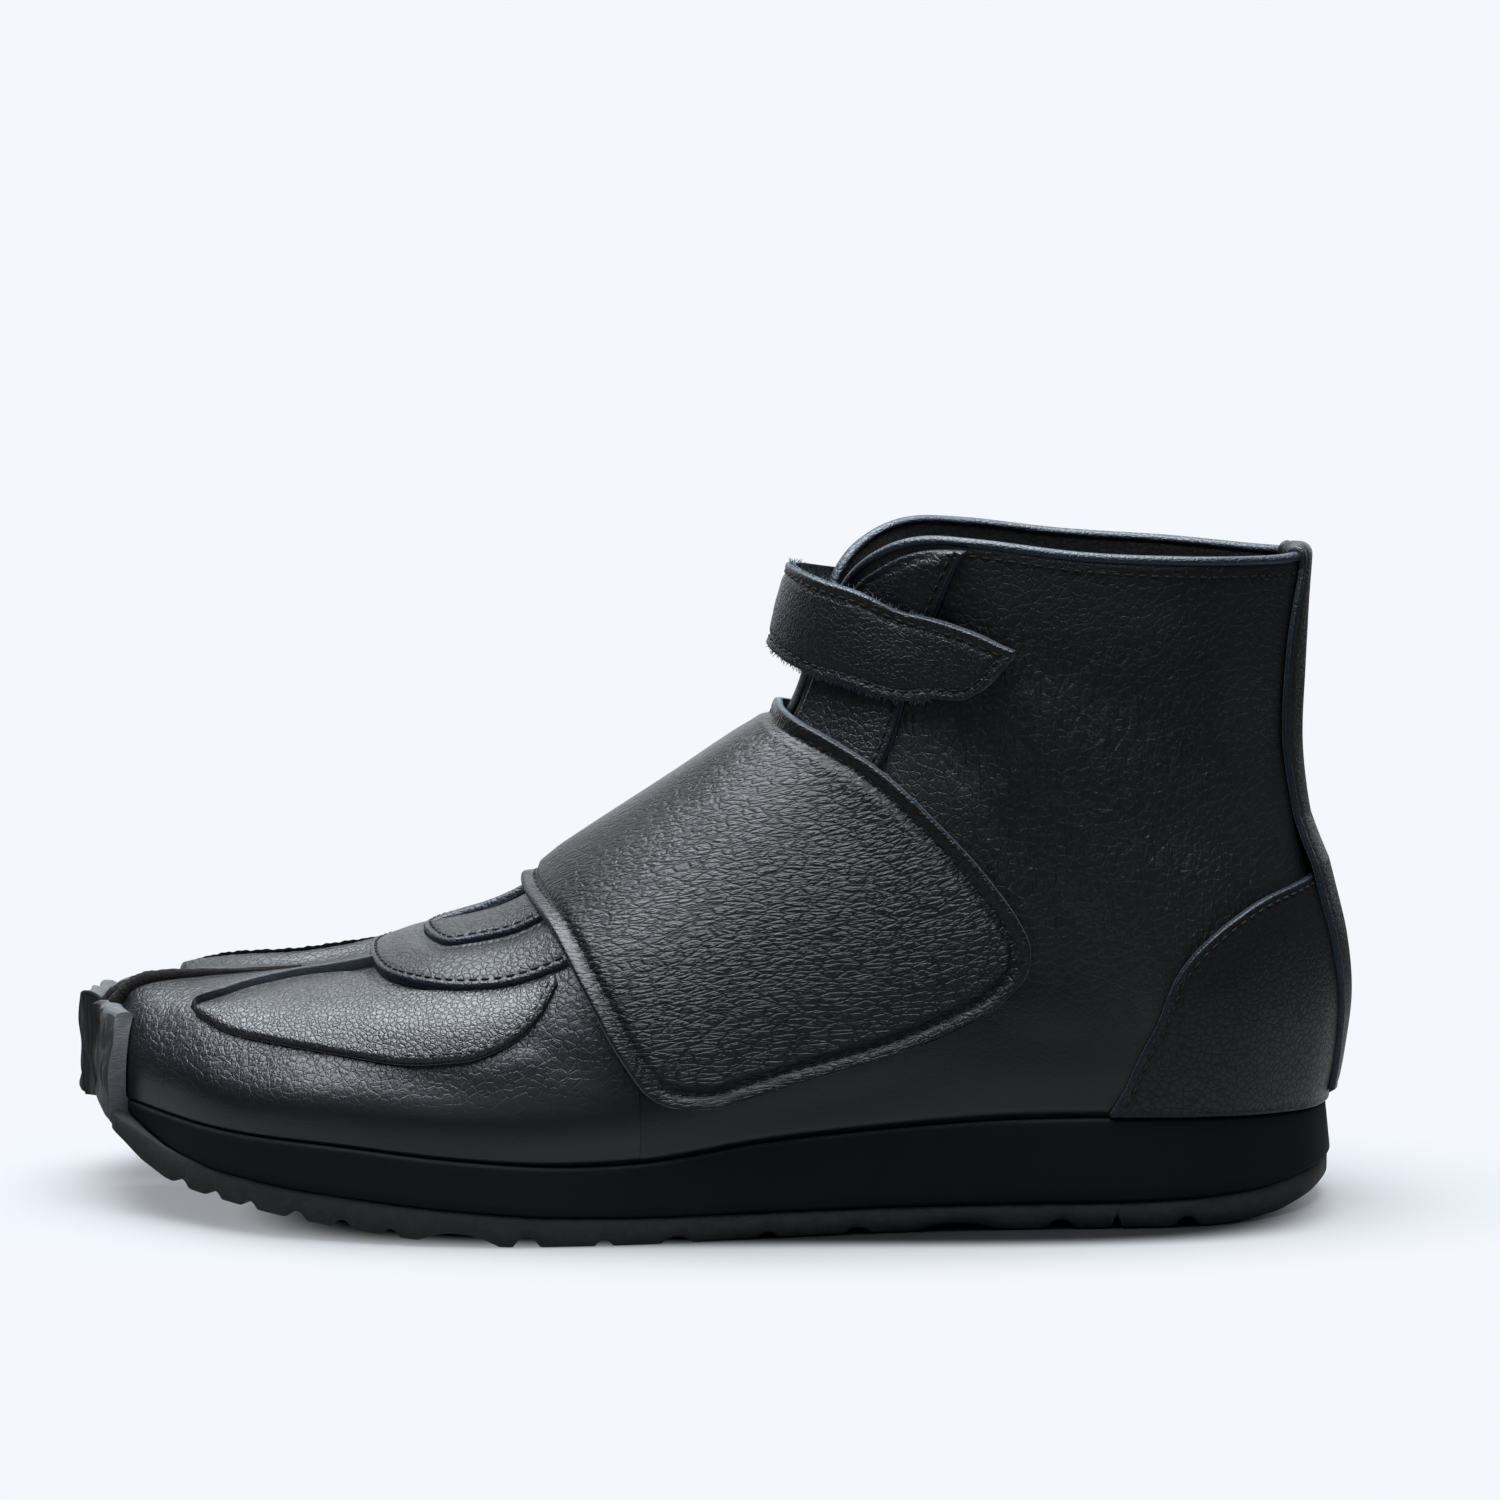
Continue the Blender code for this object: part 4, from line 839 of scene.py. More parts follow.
# Soft troughs (-) and ridges (+) pressed into the upper by wear and lasting, as one line each.
CREASE_COLUMNS = ("side", "station_1", "girth_1", "station_2", "girth_2", "width", "depth")
CREASES = (
    (-1, 12.9, 0.62, 13.6, 0.34, 3.2, -0.70), (-1, 13.6, 0.64, 14.3, 0.36, 3.0, -0.55),
    (-1, 14.4, 0.60, 14.9, 0.40, 2.8, -0.50), (-1, 13.2, 0.34, 15.6, 0.27, 4.5, -0.60),
    (-1, 15.2, 0.58, 15.6, 0.36, 3.0, -0.45), (-1, 16.0, 0.60, 16.1, 0.42, 3.4, -0.40),
    (-1, 12.6, 0.50, 14.2, 0.47, 5.0, 0.55), (-1, 15.0, 0.78, 17.6, 0.70, 7.0, -0.50),
    (-1, 16.8, 0.52, 18.4, 0.47, 6.0, -0.60), (-1, 17.2, 0.86, 18.8, 0.80, 6.0, 0.40),
    (-1, 6.3, 0.27, 7.6, 0.20, 4.0, -0.45), (-1, 7.8, 0.36, 8.6, 0.22, 3.0, -0.50),
    (-1, 7.2, 0.25, 8.4, 0.31, 3.2, 0.40), (-1, 3.9, 0.30, 5.2, 0.26, 5.0, -0.50),
    (-1, 4.6, 0.20, 6.2, 0.16, 5.0, 0.35), (-1, 9.6, 0.05, 12.0, 0.08, 5.0, -0.40),
    (-1, 2.4, 0.55, 3.2, 0.42, 4.0, -0.35), (-1, 12.4, 0.20, 14.6, 0.14, 6.0, 0.40),
    (1, 12.9, 0.62, 13.7, 0.36, 3.2, -0.65), (1, 13.8, 0.62, 14.4, 0.38, 3.0, -0.55),
    (1, 14.8, 0.60, 15.2, 0.40, 3.0, -0.45), (1, 13.2, 0.33, 15.6, 0.27, 4.5, -0.55),
    (1, 12.6, 0.48, 14.2, 0.46, 5.0, 0.50), (1, 16.8, 0.52, 18.4, 0.47, 6.0, -0.55),
    (1, 7.8, 0.36, 8.6, 0.22, 3.0, -0.50), (1, 6.3, 0.27, 7.6, 0.20, 4.0, -0.45),
    (1, 4.0, 0.30, 5.2, 0.26, 5.0, -0.45), (1, 15.0, 0.80, 17.6, 0.72, 7.0, -0.45),
    (1, 9.6, 0.06, 12.0, 0.08, 5.0, -0.40),
)
# Cut edge of the toe strip over the leaf (station, girth), from the leaf's tip to under the facing.
STRIP = (
    (3.38, 0.560), (3.36, 0.590), (3.42, 0.632), (3.80, 0.692), (4.25, 0.777), (4.88, 0.840), (5.45, 0.852),
    (6.00, 0.850), (6.60, 0.840),
)
# Girth by which the medial strip's edge lies nearer the ridge of its lobe.
MEDIAL_STRIP_RISE = 0.012
# Strip sewn round the throat: its cut outer edge, then its edge along the slit.
THROAT_STRIP = (
    (6.85, 1.000, 7.02, 1.000), (6.87, 0.950, 7.03, 0.997), (6.92, 0.890, 7.06, 0.993),
    (7.00, 0.835, 7.12, 0.988), (7.15, 0.785, 7.30, 0.984), (7.55, 0.777, 7.60, 0.982),
    (8.10, 0.770, 8.10, 0.982), (8.70, 0.800, 8.70, 0.985), (9.60, 0.880, 9.60, 0.988),
    (10.4, 0.940, 10.4, 0.990),
)
# Vamp seam, where the toe piece ends over the quarter, and how far the laid-on edge fades forward.
VAMP_STATION = 8.92
VAMP_STEP = 1.1
# How far the upper rolls out a little above the foam.
LASTED_ROLL = 0.6


def creased(side, points):
    """Height of the creases at points of the upper: for each line a bell curve of the distance from it."""
    rise = np.zeros(points.shape[:2])
    for row in CREASES:
        crease = dict(zip(CREASE_COLUMNS, row))
        if crease["side"] != side:
            continue
        start = skin(side, crease["station_1"], crease["girth_1"])
        span = skin(side, crease["station_2"], crease["girth_2"]) - start
        part = np.clip(((points - start) @ span) / (span @ span), 0, 1)
        wander = 1.6 * np.sin(part * 5.0 + crease["station_1"] * 3.0)
        away = np.linalg.norm(points - start - part[..., None] * span, axis=-1)
        taper = np.sin(np.pi * np.clip(part * 0.86 + 0.07, 0, 1))
        rise += crease["depth"] * taper * np.exp(-((away - wander * 0.4) / crease["width"]) ** 2)
    return rise


def make_upper():
    """Leather wall of both halves and the cleft: the shared skin plus
    creases, a roll above the sole and the step of the vamp seam."""
    seam = VAMP_STATION + np.array([-0.03, -0.018, -0.008, 0.0, 0.008, 0.02])
    station = np.concatenate([np.linspace(0, 5, 66), np.linspace(5, 8.86, 58)[1:], seam,
                              np.linspace(8.98, 17, 104), np.linspace(17, LAST, 58)[1:]])
    girth = np.linspace(0, 1, 62)
    lap = VAMP_STEP * soft_step(station, 7.2, VAMP_STATION - 0.05) * (station < VAMP_STATION - 0.004)
    lap = lap[:, None] * (1 - soft_step(girth, 0.55, 0.75))
    reach = soft_step(station, BUMPER_END, BUMPER_END + 1.0) * (1 - 0.7 * soft_step(station, 8.4, 9.4))
    shaft = hump(station, 11.5, 13.5, 17.0, 19.5)[:, None]
    toe = 1 - soft_step(station, 7.5, 9.5)[:, None]
    wrinkle = shaft * hump(girth, 0.12, 0.4, 0.72, 0.95) + 0.35 * toe * soft_step(girth, 0.15, 0.35)
    smooth = np.maximum(0.85 * (1 - soft_step(girth, 0.1, 0.32)), 0.2 * shaft)
    patches = []
    for side in SIDES:
        plain = skin(side, station[:, None], girth[None, :])
        above = plain[..., 2] - along(FEATHER_LINE, plain[..., 0])
        roll = LASTED_ROLL * np.exp(-((above - 10.0) / 6.0) ** 2) * reach[:, None]
        lift = (creased(side, plain) + roll + lap) * hump(girth, 0.0, 0.06, 0.94, 1.0)
        points = raised(side, station[:, None], girth[None, :], lift)
        patches.append(patch(points, 0, wrinkle=wrinkle, smooth=smooth))
        top = skin(side, station[station <= ROOT_STATION], 1.0)
        foot_z = along(FEATHER_LINE, top[:, 0]) + GAP
        wall = np.repeat(top[:, None], 20, axis=1)
        wall[:, :, 2] = foot_z[:, None] + (top[:, 2] - foot_z)[:, None] * np.linspace(0, 1, 20)
        patches.append(patch(wall, 0))
    looks = [finish("upper_leather"), finish("lining"), finish("raw_edge")]
    piece = build("upper_shell", patches, looks, ["upper"], closed=False)
    shell = piece.modifiers.new("wall", "SOLIDIFY")
    shell.thickness = WALL * MM
    shell.offset = -1.0
    shell.material_offset = 1
    shell.material_offset_rim = 2


def strip_spot(side):
    """Path of the toe strip's cut edge along the leaf's top edge, from the leaf's tip to under the facing."""
    rows = edge_rows(STRIP, np.linspace(0.0, len(STRIP) - 1, STRIP_STEPS))
    rise = MEDIAL_STRIP_RISE if side == MEDIAL_SIDE else 0.0
    return np.full(STRIP_STEPS, float(side)), rows[:, 0], rows[:, 1] + rise


def make_toe_strip(side, label):
    """Edge of the strip over the leaf: a band that rises from the skin to
    its cut edge and drops to the leaf."""
    path = strip_spot(side)
    step = np.arange(STRIP_STEPS)
    fade = soft_step(step, 0, 26)
    narrow = 0.1 + 0.9 * soft_step(step, 8, 70)
    inward = np.concatenate([[0.0, 0.0, 0.25, 0.6, 1.2], np.linspace(2.0, STRIP_BAND, 9)])
    rise = 1 - soft_step(inward, 0.0, STRIP_BAND)
    rise[0] = 0.0
    over = []
    below = []
    for offset, level in zip(inward, rise):
        moved = moved_in(path, -side * offset * narrow)
        lift = level * (size("strip_edge") + LIFT) * fade - 0.12 * (1 - level) - 0.45 * (1 - fade)
        over.append(on_upper(moved, lift - 0.25 * (offset == 0.0) * level))
        below.append(on_upper(moved, -0.6))
    top = np.stack(over, axis=1)
    under = np.stack(below, axis=1)
    number = np.zeros((STRIP_STEPS - 1, len(inward) - 1), int)
    number[:, :2] = 1
    patches = [patch(top, number), patch(under, 1)] + [patch(rim, 1) for rim in raw_rim(under, top)]
    if side == MEDIAL_SIDE:
        patches.append(patch(rolled_edge(path), 2))
    looks = [finish("upper_leather"), finish("raw_edge"), finish("curled_edge")]
    build("toe_strip_edge_" + label, patches, looks)


def rolled_edge(path):
    """Raw edge that has curled up along the medial strip: a thin ragged tube on the strip's cut edge."""
    share = np.linspace(0, 1, STRIP_STEPS)
    line = on_upper(path, size("strip_edge") + 0.25)
    forward = unit(np.gradient(line, axis=0))
    normal = upper_normal(path)
    ragged = 1 + 0.12 * np.sin(share * 211.0) + 0.1 * np.sin(share * 97.0)
    thick = 0.9 * hump(share, 0.2, 0.45, 0.75, 0.98) * ragged + 0.05
    return tube(line, normal, np.cross(forward, normal), thick, thick)


def make_leaf(side, label):
    """Leaf panel of the toe: tucked thin along its top edge, full at its cut lower edge."""
    across = close_to_ends(44)
    spot = between_edges(side, LEAF, (len(LEAF) - 1) * np.linspace(0, 1, 170), across)
    thick = 0.7 + (size("leaf_edge") - 0.7) * soft_step(np.broadcast_to(across, spot[1].shape), 0.05, 0.8)
    panel("leaf_" + label, spot, LEAF_BASE, thick, "leaf_leather", ["leaf_panel_" + label], puff=0.35,
          inset=0.5, bevel=1.3)


def throat_spot(table, across):
    """Spot grid of a U-shaped panel: up the medial side's rows, through the
    shared middle row, then lateral."""
    at = np.linspace(0, len(table) - 1, 150)
    lateral = between_edges(LATERAL_SIDE, table, at, across)
    medial = between_edges(MEDIAL_SIDE, table, at, across)
    middle = (np.zeros_like(lateral[0][:1]), lateral[1][:1], lateral[2][:1])
    return stack_spots([[part[:0:-1] for part in medial], middle, [part[1:] for part in lateral]])


def make_facing():
    """U-shaped panel round the throat, one piece across the toe end, its cut edge sewn down all round."""
    across = close_to_ends(30)
    spot = throat_spot(FACING, across)
    thick = size("facing_edge") - 0.9 * soft_step(across, 0.55, 0.95)[None] + np.zeros(spot[1].shape)
    panel("facing_panel", spot, FACING_BASE, thick, "facing_leather", ["facing"], inset=SEAM_INSET,
          groove=0.3, puff=0.15, bevel=1.0)


def make_throat_strip():
    """Strip sewn round the slit of the throat, its cut edge lying on the facing."""
    spot = throat_spot(THROAT_STRIP, close_to_ends(24))
    panel("throat_strip", spot, THROAT_BASE, THROAT_EDGE, "facing_leather", inset=SEAM_INSET, groove=0.25,
          puff=0.1, bevel=0.9)


def counter_spot(across):
    """Spot grid of the heel counter: the lateral side's rows, the shared
    row of the back seam, then medial."""
    at = (len(COUNTER) - 1) * np.linspace(0, 1, 130)
    lateral = between_edges(LATERAL_SIDE, COUNTER, at, across)
    medial = between_edges(MEDIAL_SIDE, COUNTER, at, across)
    middle = (np.zeros_like(lateral[0][-1:]), lateral[1][-1:], lateral[2][-1:])
    return stack_spots([[part[:-1] for part in lateral], middle, [part[-2::-1] for part in medial]])


def make_counter():
    """Heel counter round the back, sewn along its top edge."""
    panel("heel_counter_panel", counter_spot(close_to_ends(40)), COUNTER_BASE, size("counter_edge"),
          "counter_leather", ["heel_counter"], inset=SEAM_INSET, groove=0.22, puff=0.25, bevel=0.6)


def make_backstay():
    """Strip up the heel, over the counter and down onto the shaft, folded over the collar into the shoe."""
    girth = np.linspace(BACKSTAY[0][0], 0.985, BACKSTAY_ROWS)
    edge = along(BACKSTAY, np.clip(girth, None, BACKSTAY[-1][0]))[:, None]
    one = edge + (LAST - edge) * close_to_ends(20)
    station = np.concatenate([one, one[:, -2::-1]], axis=1)
    side = np.concatenate([np.full(19, -1.0), [0.0], np.full(19, 1.0)])
    spot = (np.broadcast_to(side, station.shape), station, np.broadcast_to(girth[:, None], station.shape))
    base = np.interp(girth, [0.44, 0.53], [size("counter_edge") + 0.4, 0.3])[:, None]
    turn = np.linspace(0, np.pi, FOLD_ROWS)[:, None, None]
    rim = (side, station[-1], np.full(station.shape[1], 1.0))
    outward = unit(upper_normal(rim) * (1.0, 1.0, 0.0))
    centre = on_upper(rim, 0.0) - outward * WALL / 2
    up = np.array([0.0, 0.0, 1.0])
    down = np.linspace(1.0, BACKSTAY_FOLD, INNER_ROWS)[:, None, None]

    def point(lift):
        """Up the heel on the skin, half a turn over the collar's edge, then straight down inside."""
        on_wall, on_fold, on_lining = np.split(lift, [BACKSTAY_ROWS, BACKSTAY_ROWS + FOLD_ROWS])
        wall = on_upper(spot, base + on_wall)
        radius = WALL / 2 + 0.3 + on_fold[..., None]
        over = centre + radius * (np.cos(turn) * outward + np.sin(turn) * up)
        inner = centre - outward * (WALL / 2 + 0.3 + on_lining[..., None]) - up * down
        return np.concatenate([wall, over, inner])

    shape = (BACKSTAY_ROWS + FOLD_ROWS + INNER_ROWS, station.shape[1])
    plate("backstay_strip", point, shape, 0.0, size("backstay_edge"),
          [finish("counter_leather"), finish("raw_edge")], "upper_leather", ["backstay"], inset=SEAM_INSET,
          groove=0.2, puff=0.1, bevel=0.6)


def strap_spots(across):
    """Spot grids of the instep strap's two sides, their rows crowded at the
    strap's ends by a cosine and a sine."""
    from_end = (len(STRAP_LATERAL) - 1) * (1 - np.cos(np.linspace(0, np.pi / 2, STRAP_LATERAL_ROWS)))
    to_end = (len(STRAP_MEDIAL) - 1) * np.sin(np.linspace(0, np.pi / 2, STRAP_MEDIAL_ROWS))
    lateral = between_edges(LATERAL_SIDE, STRAP_LATERAL, from_end, across)
    medial = between_edges(MEDIAL_SIDE, STRAP_MEDIAL, to_end, across)
    return lateral, medial


def strap_points(spots, lift):
    """Strap over the throat: on the skin at both sides, a crown between,
    and the corners eased by a running mean."""
    on_lateral, on_bridge, on_medial = np.split(lift, [STRAP_LATERAL_ROWS, STRAP_LATERAL_ROWS + BRIDGE_ROWS])
    lateral = on_upper(spots[0], on_lateral)
    medial = on_upper(spots[1], on_medial)
    part = np.linspace(0, 1, BRIDGE_ROWS + 2)[1:-1][:, None, None]
    bridge = blend(lateral[-1:], medial[:1], part)
    bridge[:, :, 2] += STRAP_CROWN * np.sin(np.pi * part[:, :, 0]) + (on_bridge - on_lateral[-1:])
    points = np.concatenate([lateral, bridge, medial])
    padded = np.concatenate([points[:1]] * BRIDGE_EASE + [points] + [points[-1:]] * BRIDGE_EASE)
    eased = np.mean([padded[i:i + len(points)] for i in range(2 * BRIDGE_EASE + 1)], axis=0)
    return blend(points, eased, hump(np.arange(len(points))[:, None, None], *STRAP_EASED))


def make_instep_strap():
    """Wide strap over the instep: sewn all round inside its cut edge,
    padded, with soft troughs below its crest."""
    spots = strap_spots(close_to_ends(STRAP_SHAPE[1]))
    row = np.arange(STRAP_SHAPE[0])[:, None]
    trough = sum(rise * np.exp(-((row - middle) / width) ** 2) for middle, width, rise in STRAP_TROUGHS)
    crest = 0.55 * hump(row, *STRAP_CREST) + np.zeros(STRAP_SHAPE)

    def relief(distance):
        """The troughs, fading out towards the strap's edge."""
        return trough * soft_step(distance, 3.0, 12.0)

    looks = [finish("strap_leather"), finish("strap_edge")]
    plate("instep_strap_leather", lambda lift: strap_points(spots, lift), STRAP_SHAPE, STRAP_BASE,
          size("strap_edge"), looks, "strap_leather", ["instep_strap"],
          inset=STRAP_SEAM, groove=STRAP_GROOVE, puff=0.7, bevel=0.9, width=1.15, margin=STRAP_SEAM - 0.6,
          polish=crest, relief=relief)


def ankle_edges(count):
    """Top and bottom edge of the ankle strap from its lateral end, round the loop, to the medial side."""
    both = np.array([0.0, 1.0])
    lateral = between_edges(LATERAL_SIDE, ANKLE_LATERAL, np.arange(len(ANKLE_LATERAL), dtype=float), both)
    medial = between_edges(MEDIAL_SIDE, ANKLE_MEDIAL, np.arange(len(ANKLE_MEDIAL), dtype=float), both)
    loop = np.array(ANKLE_LOOP).reshape(-1, 2, 3)
    edges = np.concatenate([on_upper(lateral, ANKLE_LIFT), loop, on_upper(medial, ANKLE_LIFT)])
    steps = lengths(edges.mean(axis=1))
    at = np.linspace(0, steps[-1], count)
    return [np.stack([spline(steps, edges[:, edge, c], at) for c in range(3)], axis=-1) for edge in range(2)]


def ankle_grid():
    """Middle layer of the ankle strap as a grid, and its outward normals."""
    across = close_to_ends(ANKLE_SHAPE[1])
    top, bottom = ankle_edges(ANKLE_SHAPE[0])
    middle = blend(top[:, None], bottom[:, None], across[None, :, None])
    down = np.repeat((bottom - top)[:, None], len(across), axis=1)
    normal = unit(np.cross(down, np.gradient(middle, axis=0)), TINY)
    outside = -1.0 if (normal[0] * (0.0, -1.0, 0.0)).sum() < 0 else 1.0
    return middle, normal * outside


def make_ankle_strap():
    """Narrow strap: leather outside, looped pile inside, cut edges all round."""
    middle, normal = ankle_grid()
    distance = border_distance(middle)
    profile = cut_profile(distance, ANKLE_THICK / 2, ANKLE_SEAM, ANKLE_GROOVE, 0.25, 0.6)
    top = middle + normal * profile[..., None]
    row, column = np.indices(ANKLE_SHAPE)
    fuzz = 0.35 * np.sin(row * 2.1) * np.sin(column * 2.7)
    under = middle - normal * (ANKLE_THICK / 2 + fuzz * soft_step(distance, 0.0, 1.0))[..., None]
    flat = flat_lengths(top)
    patches = [patch(top, 0, flat, edge=distance), patch(under, 1, flat)]
    patches += [patch(rim, 2) for rim in raw_rim(under, top)]
    looks = [finish("ankle_leather"), finish("pile"), finish("strap_edge")]
    build("ankle_strap_leather", patches, looks, ["ankle_strap"])


def make_fibres():
    """Loose fibres along the ankle strap's lower edge and loop: thin
    spindles that lean out at chance angles."""
    middle = ankle_grid()[0]
    chance = np.random.default_rng(5)
    row = chance.integers(36, 150, FIBRES)
    low = (chance.random(FIBRES) < 0.75)[:, None]
    root = np.where(low, middle[row, -1], middle[row, 0])
    out = unit(np.where(low, middle[row, -1] - middle[row, -5], middle[row, 0] - middle[row, 4]))
    ahead = unit(out + chance.normal(0.0, 0.75, (FIBRES, 3)))
    across = unit(np.cross(ahead, (0.31, 0.83, 0.47)))
    upward = np.cross(across, ahead)
    root = root + upward * chance.uniform(-0.5, 0.5, (FIBRES, 1))
    length = chance.uniform(0.5, 1.5, FIBRES)
    turn = np.linspace(0, 2 * np.pi, 5)
    ring = np.cos(turn)[:, None] * across[:, None] + np.sin(turn)[:, None] * upward[:, None]
    rings = [root[:, None] + ahead[:, None] * (length * part)[:, None, None] + ring * wide
             for part, wide in ((-0.3, 0.0), (0.0, 0.08), (0.6, 0.07), (1.0, 0.0))]
    patches = [patch(spindle) for spindle in np.stack(rings, axis=1)]
    build("loose_fibres", patches, [finish("fibre")])


def tube(path, first, second, across, up, count=14):
    """Closed tube: an ellipse with half sizes across and up, carried along a path in two given directions."""
    turn = np.linspace(0, 2 * np.pi, count)
    ring = path[:, None] + first[:, None] * (np.cos(turn)[None, :, None] * across[:, None, None])
    ring = ring + second[:, None] * (np.sin(turn)[None, :, None] * up[:, None, None])
    caps = [np.repeat(ring[end].mean(axis=0)[None, None], count, axis=1) for end in (0, -1)]
    return np.concatenate([caps[0], ring, caps[1]])


def collar_spot():
    """Path round the collar's top edge from the lateral side over the back seam to the medial side."""
    one = np.linspace(COLLAR_START, LAST, COLLAR_STEPS)
    side = np.concatenate([np.full(COLLAR_STEPS - 1, -1.0), [0.0], np.full(COLLAR_STEPS - 1, 1.0)])
    return side, np.concatenate([one, one[-2::-1]]), np.full(len(side), 1.0)


def make_collar_binding():
    """Rolled binding along the collar: an ellipse carried round the top edge of the upper."""
    spot = collar_spot()
    outward = unit(upper_normal(spot) * (1.0, 1.0, 0.15))
    centre = on_upper(spot, 0.0) - outward * (WALL / 2) + (0.0, 0.0, 0.1)
    up = np.cross(unit(np.gradient(centre, axis=0)), outward)
    up *= np.sign((up * (0.0, 0.0, 1.0)).sum(-1, keepdims=True) + 1e-6)
    step = np.arange(len(centre))
    ends = np.clip(np.minimum(step, step[::-1]) / 8.0, 0.15, 1.0)
    patches = [patch(tube(centre, outward, up, size("binding_wide") * ends, size("binding_high") * ends))]
    build("collar_binding", patches, [finish("ankle_leather")])


def make_cleft_welts():
    """Raw welt along each side of the cleft's top edge: a flattened tube that thins towards the root."""
    patches = []
    station = np.concatenate([np.linspace(0.0, 1.0, 40), np.linspace(1.0, 4.9, 110)[1:]])
    for side, lift in ((LATERAL_SIDE, 0.9), (MEDIAL_SIDE, -2.2)):
        edge = skin(side, station, 1.0)
        front = np.repeat(edge[:1], 14, axis=0)
        front[:, 2] = np.linspace(edge[0, 2] - 6.0, edge[0, 2], 14)
        path = np.concatenate([front[:-1], edge])
        path[:, 1] += side * 0.2
        across = unit(np.cross(unit(np.gradient(path, axis=0)), (0.0, 1.0, 0.0)))
        sideways = np.broadcast_to((0.0, 1.0, 0.0), path.shape)
        share = np.linspace(0, 1, len(path))
        path[:, 2] += lift * (1 - soft_step(share, 0.35, 0.95))
        rough = 1 + 0.04 * np.sin(share * 61.0) + 0.03 * np.sin(share * 149.0 + 1.0)
        thin = (1 - soft_step(share, 0.35, 1.0) * 0.85) * np.clip(share * 30 + 0.2, 0, 1) * rough
        welt = tube(path, across, sideways, size("welt_high") * thin, size("welt_wide") * thin, 16)
        patches.append(patch(welt))
    build("cleft_welts", patches, [finish("welt")])


def cleft_line(side, x, clear):
    """Side of the cleft in plan, pulled back by a clearance."""
    table = half(side)
    middle = np.interp(x, [table[0][0], table[ROOT_STATION][0]], [table[0][4], table[ROOT_STATION][4]])
    return middle + side * clear


def centre_line(x):
    """Line between the sole's two halves behind the cleft: from the cleft's
    root to the middle of the shoe."""
    return np.interp(x, [SOLE_ROOT_X, 20.0], [CENTRE_Y_AT_ROOT, 0.0])


def plan_points(side, reach, clear, root_x, lobe_x, body_x):
    """Outline of a sole layer at x levels: edge, inner line (cleft or centre) and station of every level."""
    station = np.linspace(0, LAST, 1601)
    foot_x, foot_y, lip = columns(half(side), station)[:3]
    normal_x, normal_y = plan_normal(side, station)
    spread = reach(station, lip)
    x = foot_x + normal_x * spread
    y = foot_y + normal_y * spread
    keep = (side * (y - cleft_line(side, x, clear)) >= 0) | (station > 2)
    x = np.maximum.accumulate(x[keep])
    y = y[keep]
    station = station[keep]
    toe = np.interp(np.linspace(0, 4.7, 84), station, x)
    toe = np.unique(np.concatenate([[x[0]], toe[toe > x[0] + 0.02], lobe_x]))
    level = np.concatenate([toe[toe < root_x - CLEFT_END - 0.5], [root_x - CLEFT_END], body_x])
    edge_y = np.interp(level, x, y)
    inner_y = np.where(level < root_x - 0.01, cleft_line(side, level, clear), centre_line(level))
    inner_y[0] = edge_y[0]
    inner_y[-1] = 0.0
    edge_y[-1] = 0.0
    return level, edge_y, inner_y, np.interp(level, x, station)


def body_levels(root_x, back, middle):
    """X values from the cleft's root to the back of the heel, closer together round the heel."""
    heel = back - (back - HEEL_TURN_X) * (1 - np.sin(np.linspace(0, np.pi / 2, 44)))
    return np.concatenate([[root_x], middle[(middle > root_x + 0.5) & (middle < HEEL_TURN_X - 0.6)], heel])


def edge_line(plan, inset, z):
    """Line round a layer, moved in from its edge by an inset but never past the middle of a narrow lobe."""
    x, edge_y, inner_y, normal = plan
    limit = np.zeros_like(x)
    if inset > 0:
        limit = np.minimum(inset, 0.45 * np.abs(edge_y - inner_y))
    return np.stack([x - normal[0] * limit, edge_y - normal[1] * limit, z], axis=-1)


def slab(lines, lobe, wall_steps):
    """Grids of half a sole layer: its sections from their lines, closed at the heel's middle, and the
    lobe's wall along the cleft, straight from each section's last point to its first."""
    section = np.stack(lines, axis=1)
    section[-1, :, 1] = 0.0
    wall = blend(section[:, -1:], section[:, :1], np.linspace(0, 1, wall_steps)[None, :, None])
    return [patch(section), patch(wall[lobe])]


def make_layer(name, look, replaced, reach, flare, clear, root_x, low, high, corner):
    """Slab with a cleft: for each x level a section from its inner line
    over the rounded edges and back below."""
    back = half(LATERAL_SIDE)[LAST][0] + float(reach(float(LAST), 1.0))
    body_x = body_levels(root_x, back, np.arange(root_x, HEEL_TURN_X, 1.6))
    turn = np.linspace(0, np.pi / 2, 5)
    patches = []
    for side in SIDES:
        x, edge_y, inner_y, station = plan_points(side, reach, clear, root_x, np.array([]), body_x)
        normal = plan_normal(side, station)
        plan = (x, edge_y, inner_y, normal)
        grow = flare * np.clip(station - BUMPER_END - 0.5, 0, 1)
        flared = np.stack([normal[0] * grow, normal[1] * grow, np.zeros_like(x)], axis=-1)
        top = high(x)
        bottom = low(x)
        lines = [np.stack([x, inner_y, top], axis=-1), edge_line(plan, corner * 3, top)]
        for angle in turn:
            lines.append(edge_line(plan, corner * (1 - np.sin(angle)), top - corner * (1 - np.cos(angle))))
        for part in np.linspace(0.15, 0.85, 6):
            lines.append(edge_line(plan, 0.0, blend(top - corner, bottom + corner, part)) + flared * part)
        for angle in turn[::-1]:
            rise = corner * (1 - np.cos(angle))
            lines.append(edge_line(plan, corner * (1 - np.sin(angle)), bottom + rise) + flared)
        lines.append(edge_line(plan, corner * 3, bottom))
        lines.append(np.stack([x, inner_y, bottom], axis=-1))
        patches += slab(lines, x <= root_x + 0.01, 4)
    build(name, patches, [finish(look)], replaced, sharp=60.0)


